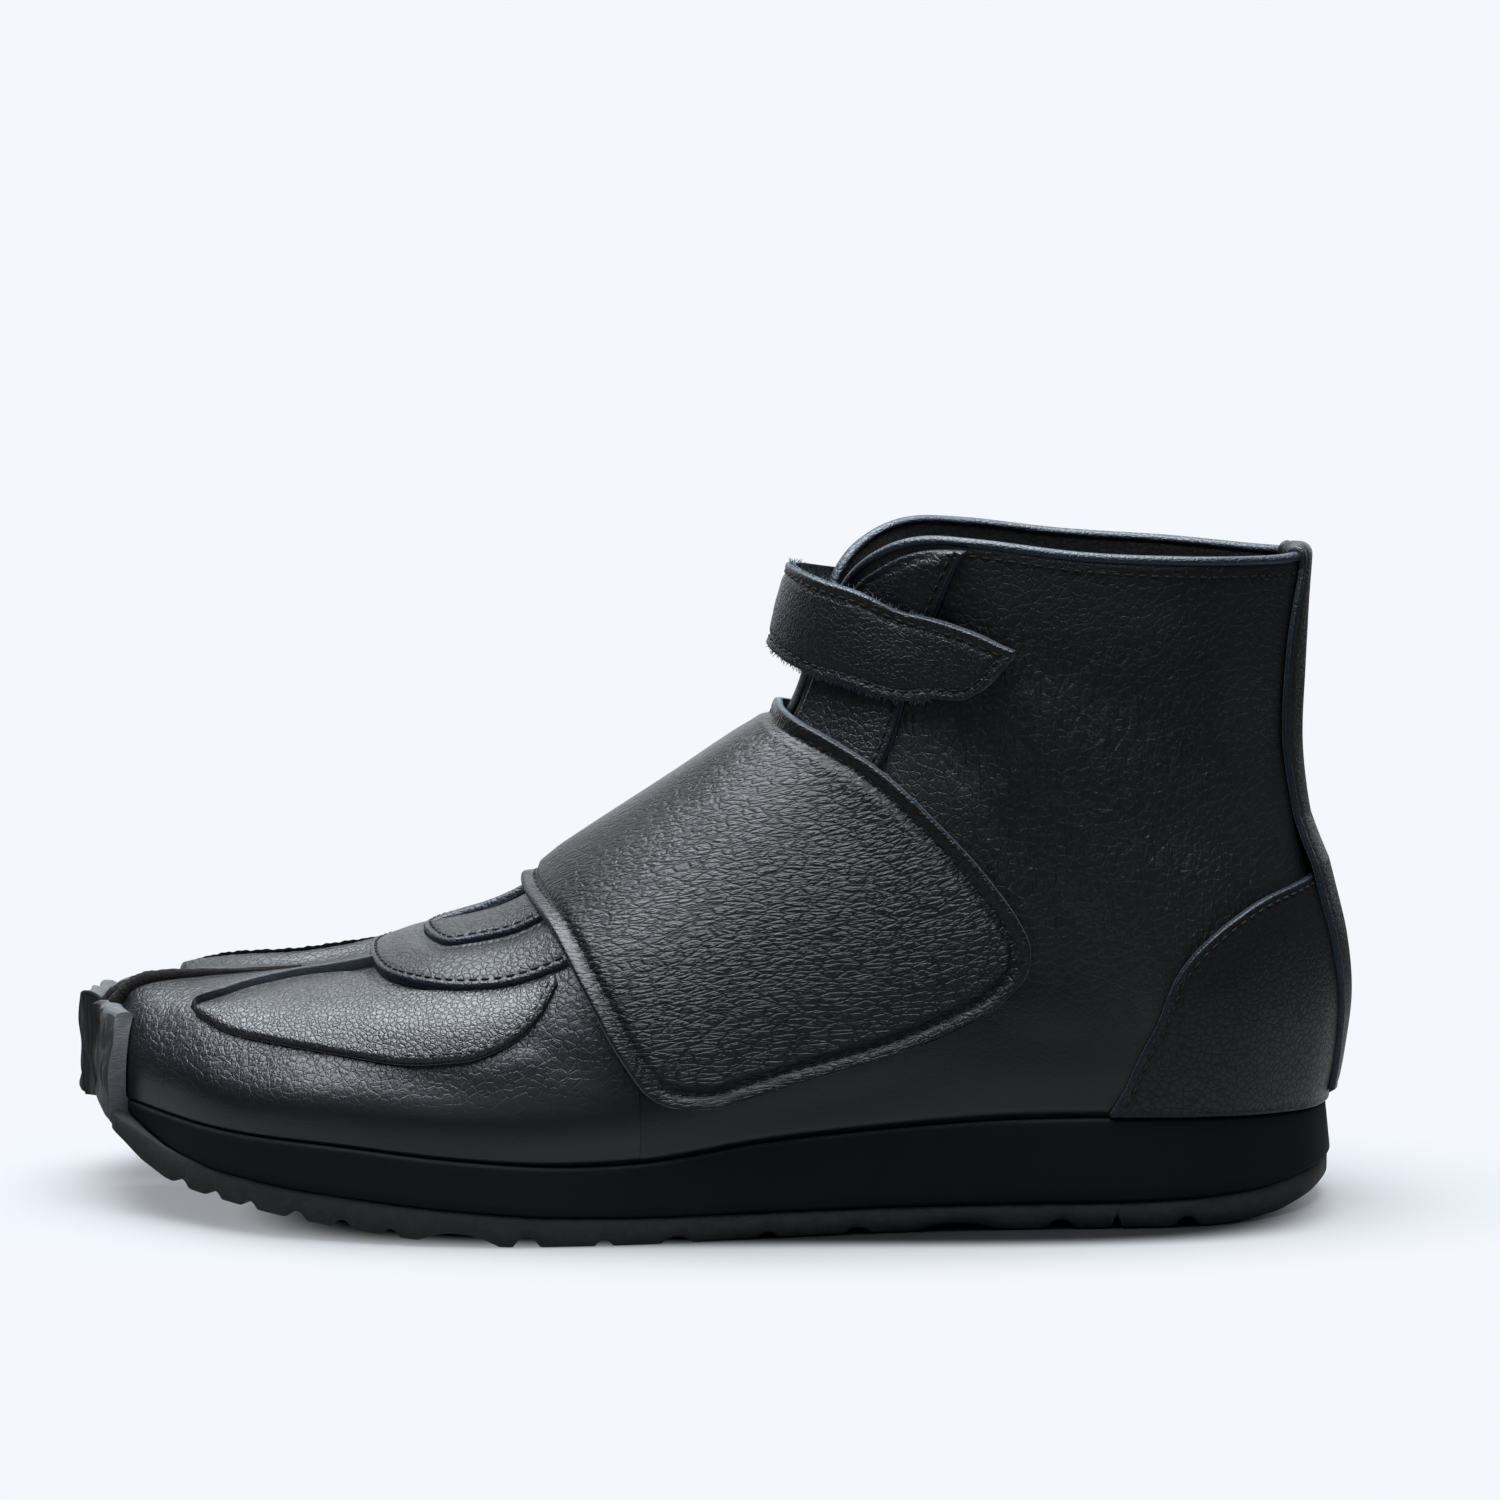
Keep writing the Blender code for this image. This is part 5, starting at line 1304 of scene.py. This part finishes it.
def midsole_reach(station, lip):
    """Foam edge beyond the upper, whatever the sole's lip: flush behind the bumper, then a narrow edge."""
    return np.interp(station, [BUMPER_END + 0.05, BUMPER_END + 0.7], [0.0, 1.0])


def footbed_reach(station, lip):
    """Footbed edge, inside the upper by the same inset all round."""
    return -INSOLE_INSET


def girths_at(side, station, z):
    """Girth at which each section reaches a height, read off a fine scale of girths."""
    scale = np.linspace(0, 1, 401)
    heights = skin(side, station[:, None], scale[None, :])[..., 2]
    above = np.clip((heights < z).sum(axis=1), 1, 400)
    row = np.arange(len(station))
    before = heights[row, above - 1]
    after = heights[row, above]
    return scale[above - 1] + (z - before) / (after - before) * (scale[1] - scale[0])


def bumper_rings(side, station):
    """Turned-up rubber in front of a lobe, a ring for each station: up its ribbed outer face, over its
    worn top, down its inner face and back under the tray."""
    part = np.linspace(0, 1, 16)
    ends = girths_at(side, station, BUMPER_TOP - 0.6)
    face = skin(side, station[:, None], 0.01 + (ends[:, None] - 0.01) * part[None, :])
    normal = plan_normal(side, station)
    away = np.stack([normal[0], normal[1], np.zeros_like(station)], axis=-1)
    foot = skin(side, station, 0.0)
    arc = lengths(foot)[:, None]
    sunk = np.sin(np.pi * np.clip(part * 1.05, 0, 1))
    rib = BUMPER_RIB * np.cos(2 * np.pi * arc / BUMPER_RIB_PITCH) * sunk
    ragged = 0.35 * np.sin(arc * 1.3 + 0.7) * soft_step(part, 0.5, 1.0) + 0.3 * np.sin(part * 9.0 + side)
    outer = face + away[:, None] * (GAP + BUMPER_THICK + rib + ragged)[..., None]
    worn_top = 0.5 * np.sin(arc * 0.9) + (1.6 if side == MEDIAL_SIDE else 0.0)
    outer[:, :, 2] += worn_top * soft_step(part, 0.7, 1.0)
    inner = face + away[:, None] * GAP
    turn = np.linspace(0, np.pi, 7)[1:-1]
    middle = (outer[:, -1:] + inner[:, -1:]) / 2
    crown = middle + (outer[:, -1:] - inner[:, -1:]) / 2 * np.cos(turn)[None, :, None]
    crown[:, :, 2] += np.sin(turn)
    reach = columns(half(side), station)[2] + OUTSOLE_EDGE

    def line(out, z):
        """Line at a distance out from the foot line, at heights z."""
        return np.concatenate([(foot + away * out[:, None])[:, :2], z[:, None]], axis=1)[:, None]

    top = height(FOAM_LINE, foot[:, 0])
    floor = height(FLOOR_LINE, line(reach, top)[:, 0, 0])
    below = [line(reach - inset, floor + rise)
             for inset, rise in ((9.0, 0.6), (3.4, 0.0), (1.6, 0.3), (0.5, 1.0), (0.0, 2.2))]
    tray = line(np.full(len(foot), -3.0), top - 0.3)
    lip = line(reach, top + 0.6)
    return np.concatenate([*below, lip, outer, crown, inner[:, ::-1], tray, below[0]], axis=1)


def make_bumpers():
    """Toe bumper of each lobe: its rings, closed at both ends by trimmed faces."""
    patches = []
    part = np.linspace(0, 1, 6)[:, None, None]
    for side in SIDES:
        ring = bumper_rings(side, np.linspace(0.0, BUMPER_END, 80))
        number = np.zeros((79, ring.shape[1] - 1), int)
        # Faces from under the sole up the ribbed front take the front rubber with its painted highlight
        # streaks, the top takes the trimmed rubber, the rest plain rubber.
        number[:, :21] = 2
        number[:, 21:27] = 1
        patches.append(patch(ring, number))
        count = ring.shape[1] // 2 + 1
        for end, look in ((ring[0], 2), (ring[-1], 1)):
            patches.append(patch(blend(end[None, :count], end[None, ::-1][:, :count], part), look))
    looks = [finish("rubber"), finish("rubber_trim"), finish("rubber_front_sheen_streaks")]
    build("toe_bumpers", patches, looks, sharp=45.0)


def make_outsole():
    """Rubber tread with notches cut in from both edges, drawn in a little
    where the bumpers cover its front."""
    notch_x, notch_wide, notch_deep = np.array(TREAD).T
    offsets = np.array([0.12, 0.3, 0.5, 0.62])
    depths = np.array([1.0, 0.72, 0.04, 0.0])
    spread = np.concatenate([-offsets[::-1], offsets])
    near = (notch_x[:, None] + notch_wide[:, None] * spread[None]).reshape(-1)
    plain = np.arange(-140.0, HEEL_TURN_X, 2.5)
    plain = plain[(np.abs(plain[:, None] - notch_x[None]) / notch_wide[None]).min(axis=1) > 0.75]
    levels = np.sort(np.concatenate([near, plain]))

    def reach(station, lip):
        """Tread edge beyond the upper: the lip and a little more, drawn in behind the bumper."""
        return lip + OUTSOLE_EDGE - 1.2 * (1 - soft_step(station, BUMPER_END - 0.1, BUMPER_END + 0.15))

    back = half(LATERAL_SIDE)[LAST][0] + float(reach(float(LAST), 1.0))
    body_x = body_levels(SOLE_ROOT_X, back, levels)
    lobe_x = levels[(levels < SOLE_ROOT_X - 2.0) & (levels > notch_x[0] - 4.0)]
    patches = []
    for side in SIDES:
        x, edge_y, inner_y, station = plan_points(side, reach, CLEFT_CLEAR, SOLE_ROOT_X, lobe_x, body_x)
        plan = (x, edge_y, inner_y, plan_normal(side, station))
        from_notch = np.abs(x[:, None] - notch_x[None]) / notch_wide[None]
        cut = np.interp(from_notch.min(axis=1), offsets, depths) * notch_deep[from_notch.argmin(axis=1)]
        floor = height(FLOOR_LINE, x)
        top = height(FOAM_LINE, x)
        lines = [np.stack([x, inner_y, floor], axis=-1)]
        lines += [edge_line(plan, inset, floor + cut * share + rise)
                  for inset, share, rise in ((6.0, 0.75, 0.0), (1.2, 0.95, 0.0), (0.35, 1.0, 0.12),
                                             (0.0, 1.0, 0.6))]
        lines += [edge_line(plan, inset, top - drop) for inset, drop in ((0.0, 0.5), (0.4, 0.0))]
        lines.append(np.stack([x, inner_y, top], axis=-1))
        patches += slab(lines, x <= SOLE_ROOT_X + 0.01, 3)
    build("outsole_tread", patches, [finish("rubber")], ["outsole"], sharp=50.0)


def resampled(points, normals, pitch):
    """Points, normals and directions at an even pitch along a path."""
    steps = lengths(points)
    at = np.arange(pitch / 2, steps[-1], pitch)

    def read(values):
        """Values at the even pitch, straight between the path's points."""
        return np.stack([np.interp(at, steps, values[:, c]) for c in range(3)], axis=-1)

    forward = unit(read(np.gradient(points, axis=0)), TINY)
    upward = read(normals)
    upward = unit(upward - forward * (upward * forward).sum(-1, keepdims=True), TINY)
    return read(points), upward, forward


def sewn(spot, inset, lift):
    """Seam on the upper: a path moved in from an edge, raised to the panel's face."""
    path = moved_in(spot, np.full(len(spot[1]), float(inset)))
    return on_upper(path, lift), upper_normal(path)


def stitch_grids(rows):
    """A small spindle for each stitch: rings along the thread, carried to every place of every seam."""
    length = size("stitch_length") / 2
    wide = size("stitch_width") / 2
    swing = np.linspace(-1, 1, 6)[:, None]
    round_off = np.sqrt(np.clip(1 - swing ** 4, 0.0, None))
    turn = np.linspace(0, 2 * np.pi, 7)
    forward = np.repeat(swing * length, 7, axis=1)[None, :, :, None]
    sideways = (round_off * np.cos(turn) * wide)[None, :, :, None]
    up = (round_off * np.sin(turn) * wide * 0.8 - 0.25 * swing ** 2 * wide)[None, :, :, None]
    made = []
    for points, normals in rows:
        places = resampled(points, normals, size("stitch_pitch"))
        spots, upward, ahead = [part[:, None, None] for part in places]
        grid = spots + ahead * forward + np.cross(upward, ahead) * sideways + upward * up
        made += [patch(stitch) for stitch in grid]
    return made


def edge_path(side, table, column, first, last, count=260):
    """Path along one edge of an edge table, from one row number to another."""
    rows = edge_rows(table, np.linspace(first, last, count))
    return np.full(count, float(side)), rows[:, column], rows[:, column + 1]


def make_stitching():
    """Every visible seam: along the panels' edges, round both straps, below
    the collar and at the vamp seam."""
    seams = []
    for side in SIDES:
        edges = (
            (LEAF, 2, LEAF_SEAM_START, len(LEAF) - 1, -LEAF_SEAM, LEAF_BASE + size("leaf_edge") - 0.05),
            (FACING, 0, 0.0, len(FACING) - 1, -SEAM_INSET, FACING_BASE + size("facing_edge") - 0.1),
            (THROAT_STRIP, 0, 0.0, len(THROAT_STRIP) - 1, -SEAM_INSET, THROAT_BASE + THROAT_EDGE - 0.1),
            (COUNTER, 0, 0.0, COUNTER_SEAM_END, SEAM_INSET, COUNTER_BASE + size("counter_edge") - 0.05),
        )
        for table, column, first, last, inset, lift in edges:
            seams.append(sewn(edge_path(side, table, column, first, last), side * inset, lift))
        girth = np.linspace(0.17, 0.5, 120)
        vamp = (np.full(len(girth), float(side)), np.full(len(girth), VAMP_STATION - 0.03), girth)
        seams.append(sewn(vamp, -side * VAMP_SEAM, VAMP_STEP))
    side, station, girth = collar_spot()
    collar = (side, station, np.maximum(girth - COLLAR_SEAM / 95.0, 0.0))
    seams.append((on_upper(collar, 0.15), upper_normal(collar)))
    lift = np.full(STRAP_SHAPE, STRAP_BASE + size("strap_edge") - STRAP_GROOVE + 0.2)
    seams.append(inset_ring(strap_points(strap_spots(close_to_ends(STRAP_SHAPE[1])), lift), STRAP_SEAM))
    middle, normal = ankle_grid()
    seams.append(inset_ring(middle + normal * (ANKLE_THICK / 2 - ANKLE_GROOVE + 0.2), ANKLE_SEAM))
    build("stitching", stitch_grids(seams), [finish("thread")], sharp=80.0)


def grid_normals(points):
    """Unit normals of a grid: cross product of its steps along rows and columns."""
    return unit(np.cross(np.gradient(points, axis=0), np.gradient(points, axis=1)), TINY)


def inset_ring(points, inset):
    """Path round a grid at an inset from its border: the grid points nearest that distance, smoothed."""
    distance = border_distance(points)
    ring = np.concatenate([points[:, 0], points[-1, 1:], points[::-1, -1][1:], points[0, ::-1][1:]])
    band = np.abs(distance - inset) < 0.9
    spots = points[band]
    normals = grid_normals(points)[band]
    outward = spots - points.reshape(-1, 3).mean(axis=0)
    normals *= np.sign((normals * outward).sum(-1, keepdims=True))
    miss = np.abs(distance[band] - inset)
    square = (ring ** 2).sum(1)[:, None] + (spots ** 2).sum(1)[None] - 2 * ring @ spots.T
    nearest = (square + 6.0 * miss[None] ** 2).argmin(axis=1)
    window = np.ones(9) / 9

    def smooth(values):
        """Running mean of nine values round the closed path."""
        padded = np.concatenate([values[-4:], values, values[:4]])
        return np.stack([np.convolve(padded[:, c], window, mode="valid") for c in range(3)], axis=-1)

    path = smooth(spots[nearest])
    steps = np.linalg.norm(np.diff(path, axis=0), axis=1)
    kept = np.concatenate([[True], steps > 0.01])
    return path[kept], smooth(normals[nearest])[kept]


def clear_of_sole(tree, place):
    """Mask of the floor's painted shadow, 0 on the floor under the sole and 1 outside it: fourth powers of x
    and y in a rounded box, added and eased."""
    box = add_node(tree, "ShaderNodeMapping", {"vector_type": "TEXTURE"}, Vector=place,
                   Location=(UNDER_X, 0.0, 0.0), Scale=(UNDER_LONG, UNDER_WIDE, 1.0)).outputs[0]
    parts = add_node(tree, "ShaderNodeSeparateXYZ", None, Vector=box)
    squares = [math(tree, "MULTIPLY", parts.outputs[name], parts.outputs[name]) for name in ("X", "Y")]
    fourths = [math(tree, "MULTIPLY", square, square) for square in squares]
    return ranged(tree, math(tree, "ADD", *fourths), 0.45, 1.0, 0.0, 1.0)


def make_floor():
    """Pale floor that shows the shoe's shadow near it, carries a painted shadow under the sole, and fades
    into the backdrop's colour.
    """
    colours = bpy.context.scene.tabi_colours
    wide = np.linspace(-FLOOR_HALF, FLOOR_HALF, 9)
    grid = np.stack([*np.meshgrid(wide, wide, indexing="ij"), np.zeros((9, 9))], axis=-1)
    mesh = bpy.data.meshes.new("floor")
    mesh.from_pydata(grid.reshape(-1, 3).tolist(), [], grid_quads(9, 9).tolist())
    floor = bpy.data.objects.new("floor", mesh)
    bpy.context.collection.objects.link(floor)
    look = bpy.data.materials.new("floor_paper")
    look.use_nodes = True
    tree = look.node_tree
    tree.nodes.clear()
    place = add_node(tree, "ShaderNodeTexCoord").outputs["Object"]
    open_floor = clear_of_sole(tree, place)
    oval = add_node(tree, "ShaderNodeMapping", None, Vector=place,
                    Scale=(1 / SHADOW_LONG, 1 / SHADOW_WIDE, 0.0)).outputs[0]
    away = add_node(tree, "ShaderNodeVectorMath", {"operation": "LENGTH"}, i0=oval).outputs["Value"]
    # Painted shadow: the paper's colour falls to 0.08 of itself in the rounded box under the sole.
    shaded = mixed(tree, open_floor, scaled(colours.paper, 0.08), colours.paper)
    paper = add_node(tree, "ShaderNodeBsdfDiffuse", None, Color=shaded).outputs[0]
    seen = add_node(tree, "ShaderNodeLightPath").outputs["Is Camera Ray"]
    near = math(tree, "MAXIMUM", ranged(tree, away, 1.5, 4.5, 0.85, 0.06), seen)
    backdrop = (*colours.backdrop, 1.0)
    glow = add_node(tree, "ShaderNodeEmission", None, Color=backdrop, Strength=near).outputs[0]
    share = math(tree, "MULTIPLY", ranged(tree, away, 0.75, 1.35, 0.32, 1.0), open_floor)
    both = add_node(tree, "ShaderNodeMixShader", None, i0=share, i1=paper, i2=glow).outputs[0]
    add_node(tree, "ShaderNodeOutputMaterial", None, Surface=both)
    mesh.materials.append(look)


def make_room():
    """Surroundings: dim to the shoe, and the backdrop's pale colour to the camera."""
    colours = bpy.context.scene.tabi_colours
    world = bpy.data.worlds.new("studio")
    bpy.context.scene.world = world
    world.use_nodes = True
    tree = world.node_tree
    tree.nodes.clear()
    seen = add_node(tree, "ShaderNodeLightPath").outputs["Is Camera Ray"]
    dim, pale = [add_node(tree, "ShaderNodeBackground", None, Color=(*colour, 1.0), Strength=1.0).outputs[0]
                 for colour in (colours.ambient, colours.backdrop)]
    both = add_node(tree, "ShaderNodeMixShader", None, i0=seen, i1=dim, i2=pale).outputs[0]
    add_node(tree, "ShaderNodeOutputWorld", None, Surface=both)


def make_lights():
    """One large soft light above, and three that show only as reflections."""
    for row in LIGHTS:
        light = dict(zip(LIGHT_COLUMNS, row))
        lamp = bpy.data.lights.new(light["name"], "AREA")
        lamp.shape = "RECTANGLE"
        lamp.size = light["wide"]
        lamp.size_y = light["deep"]
        lamp.energy = light["watts"]
        lamp.color = light["tint"]
        holder = bpy.data.objects.new(light["name"], lamp)
        holder.location = light["place"]
        holder.rotation_euler = np.radians(light["turn"])
        holder.visible_diffuse = not light["only_reflects"]
        bpy.context.collection.objects.link(holder)


def make_camera():
    """Camera placed and pitched as in the photo."""
    lens = bpy.data.cameras.new("camera")
    lens.lens = CAMERA_LENS
    lens.sensor_width = 36.0
    lens.clip_end = 60.0
    camera = bpy.data.objects.new("camera", lens)
    camera.location = (np.array(CAMERA_PLACE) - (ORIGIN_X, ORIGIN_Y, 0.0)) * MM
    camera.rotation_euler = (np.radians(90.0 - CAMERA_PITCH), 0.0, 0.0)
    bpy.context.collection.objects.link(camera)
    bpy.context.scene.camera = camera
    bpy.context.scene.view_settings.view_transform = "Standard"


def length_size(label, words, value):
    """A length in metres for the panel."""
    return bpy.props.FloatProperty(name=label, description=words, default=value, min=0.0, unit="LENGTH",
                                   precision=5)


def colour_value(label, words, value):
    """A colour for the panel."""
    return bpy.props.FloatVectorProperty(name=label, description=words, default=value, min=0.0, max=1.0,
                                         subtype="COLOR")


class TabiSizes(bpy.types.PropertyGroup):
    """Sizes of the leather, its edges and its stitches."""
    grain: length_size("Grain", "Width of a pebble in the leather's grain", 0.0016)
    strap_grain: length_size("Strap grain", "Width of a pebble on the instep strap", 0.0015)
    leaf_edge: length_size("Leaf edge", "Thickness of the leaf panels at their cut edge", 0.0020)
    strip_edge: length_size("Strip edge", "Thickness of the toe strip over the leaf", 0.0019)
    facing_edge: length_size("Facing edge", "Thickness of the facing at its cut edge", 0.0022)
    counter_edge: length_size("Counter edge", "Thickness of the heel counter", 0.0016)
    backstay_edge: length_size("Backstay edge", "Thickness of the strip up the heel", 0.0013)
    strap_edge: length_size("Strap edge", "Thickness of the instep strap at its cut edge", 0.0022)
    stitch_length: length_size("Stitch length", "Length of thread that shows in one stitch", 0.0021)
    stitch_pitch: length_size("Stitch pitch", "Distance from one stitch to the next", 0.0029)
    stitch_width: length_size("Stitch width", "Thickness of the thread", 0.0006)
    binding_wide: length_size("Binding width", "Half the width of the collar's rolled binding", 0.0016)
    binding_high: length_size("Binding height", "Half the height of the collar's rolled binding", 0.0011)
    welt_wide: length_size("Welt width", "Half the width of the raw welt along the cleft", 0.0015)
    welt_high: length_size("Welt height", "Half the height of the raw welt along the cleft", 0.0019)


class TabiColours(bpy.types.PropertyGroup):
    """Colours of the finishes and of the stage."""
    leather: colour_value("Leather", "Black leather of the upper", (0.0048, 0.0063, 0.0092))
    strap: colour_value("Strap leather", "Black leather of the instep strap", (0.0062, 0.0070, 0.0085))
    raw_edge: colour_value("Raw edge", "Dyed cut edges of the leather", (0.014, 0.024, 0.038))
    bead: colour_value("Leaf edge", "Burnished cut edge of the leaf panels", (0.0035, 0.0042, 0.0055))
    frayed: colour_value("Frayed edge", "Fibres that stand out of a cut edge", (0.090, 0.125, 0.160))
    lining: colour_value("Lining", "Lining leather and footbed", (0.012, 0.012, 0.013))
    pile: colour_value("Pile", "Looped pile inside the ankle strap", (0.016, 0.018, 0.022))
    welt: colour_value("Welt", "Raw welt along the cleft", (0.014, 0.0118, 0.0115))
    thread: colour_value("Thread", "Sewing thread", (0.0045, 0.0050, 0.0065))
    foam: colour_value("Foam", "Foam of the midsole", (0.0022, 0.0024, 0.0030))
    rubber: colour_value("Rubber", "Rubber of the outsole", (0.0085, 0.0086, 0.0092))
    trim: colour_value("Trimmed rubber", "Cut face of the toe bumper", (0.098, 0.102, 0.110))
    paper: colour_value("Floor", "Paper that the shoe stands on", (0.64, 0.66, 0.69))
    backdrop: colour_value("Backdrop", "Colour that the floor fades into", (0.905, 0.935, 0.985))
    ambient: colour_value("Ambient", "Light of the room", (0.105, 0.125, 0.150))


def size(name):
    """A size of the panel in millimetres."""
    return getattr(bpy.context.scene.tabi_sizes, name) / MM


class TABI_OT_upper(bpy.types.Operator):
    """Upper shell with its lining, creases and vamp seam"""
    bl_idname = "tabi.upper"
    bl_label = "Upper"

    def execute(self, context):
        make_upper()
        return {"FINISHED"}


class TABI_OT_toe_panels(bpy.types.Operator):
    """Leaf panels and the cut edges of the toe strip over them"""
    bl_idname = "tabi.toe_panels"
    bl_label = "Toe panels"

    def execute(self, context):
        for side, label in ((LATERAL_SIDE, "lateral"), (MEDIAL_SIDE, "medial")):
            make_leaf(side, label)
            make_toe_strip(side, label)
        return {"FINISHED"}


class TABI_OT_facing(bpy.types.Operator):
    """U-shaped facing and the strip sewn round the throat's slit"""
    bl_idname = "tabi.facing"
    bl_label = "Facing"

    def execute(self, context):
        make_facing()
        make_throat_strip()
        return {"FINISHED"}


class TABI_OT_heel(bpy.types.Operator):
    """Heel counter, backstay and the collar's binding"""
    bl_idname = "tabi.heel"
    bl_label = "Heel and collar"

    def execute(self, context):
        make_counter()
        make_backstay()
        make_collar_binding()
        return {"FINISHED"}


class TABI_OT_straps(bpy.types.Operator):
    """Instep strap, and ankle strap with its loose fibres"""
    bl_idname = "tabi.straps"
    bl_label = "Straps"

    def execute(self, context):
        make_instep_strap()
        make_ankle_strap()
        make_fibres()
        return {"FINISHED"}


class TABI_OT_cleft(bpy.types.Operator):
    """Raw welts along the split of the toe"""
    bl_idname = "tabi.cleft"
    bl_label = "Cleft welts"

    def execute(self, context):
        make_cleft_welts()
        return {"FINISHED"}


class TABI_OT_sole(bpy.types.Operator):
    """Outsole with its bumpers, foam midsole and footbed"""
    bl_idname = "tabi.sole"
    bl_label = "Sole"

    def execute(self, context):
        make_outsole()
        make_bumpers()
        make_layer("midsole_foam", "foam", ["midsole"], midsole_reach, MIDSOLE_FLARE,
                   CLEFT_CLEAR, SOLE_ROOT_X, lambda x: height(FOAM_LINE, x) + GAP,
                   lambda x: along(FEATHER_LINE, x), 0.9)
        make_layer("footbed", "footbed", ["insole"], footbed_reach, 0.0, WALL + 1.6,
                   SOLE_ROOT_X + 12.0, lambda x: along(FEATHER_LINE, x) + GAP,
                   lambda x: along(FEATHER_LINE, x) + GAP + INSOLE_THICK, 0.8)
        return {"FINISHED"}


class TABI_OT_stitching(bpy.types.Operator):
    """Stitches of every visible seam"""
    bl_idname = "tabi.stitching"
    bl_label = "Stitching"

    def execute(self, context):
        make_stitching()
        return {"FINISHED"}


class TABI_OT_stage(bpy.types.Operator):
    """Floor, lights and camera"""
    bl_idname = "tabi.stage"
    bl_label = "Stage"

    def execute(self, context):
        make_floor()
        make_room()
        make_lights()
        make_camera()
        return {"FINISHED"}


STEPS = (TABI_OT_stage, TABI_OT_upper, TABI_OT_toe_panels, TABI_OT_facing, TABI_OT_heel, TABI_OT_straps,
         TABI_OT_cleft, TABI_OT_sole, TABI_OT_stitching)


class TABI_PT_looks(bpy.types.Panel):
    """Sidebar panel with the sizes, the colours and the build steps"""
    bl_label = "Tabi sneaker"
    bl_idname = "TABI_PT_looks"
    bl_space_type = "VIEW_3D"
    bl_region_type = "UI"
    bl_category = "Tabi"

    def draw(self, context):
        for group in (context.scene.tabi_sizes, context.scene.tabi_colours):
            for name in group.__annotations__:
                self.layout.prop(group, name)
        for step in STEPS:
            self.layout.operator(step.bl_idname)


CLASSES = (TabiSizes, TabiColours) + STEPS + (TABI_PT_looks,)


def register():
    """Adds the classes, and the sizes and colours to the scene."""
    for made in CLASSES:
        bpy.utils.register_class(made)
    bpy.types.Scene.tabi_sizes = bpy.props.PointerProperty(type=TabiSizes)
    bpy.types.Scene.tabi_colours = bpy.props.PointerProperty(type=TabiColours)


def unregister():
    """Takes away what register added."""
    del bpy.types.Scene.tabi_colours
    del bpy.types.Scene.tabi_sizes
    for made in reversed(CLASSES):
        bpy.utils.unregister_class(made)


def main():
    """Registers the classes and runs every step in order."""
    register()
    bpy.ops.tabi.stage()
    bpy.ops.tabi.upper()
    bpy.ops.tabi.toe_panels()
    bpy.ops.tabi.facing()
    bpy.ops.tabi.heel()
    bpy.ops.tabi.straps()
    bpy.ops.tabi.cleft()
    bpy.ops.tabi.sole()
    bpy.ops.tabi.stitching()


if __name__ == "__main__":
    main()
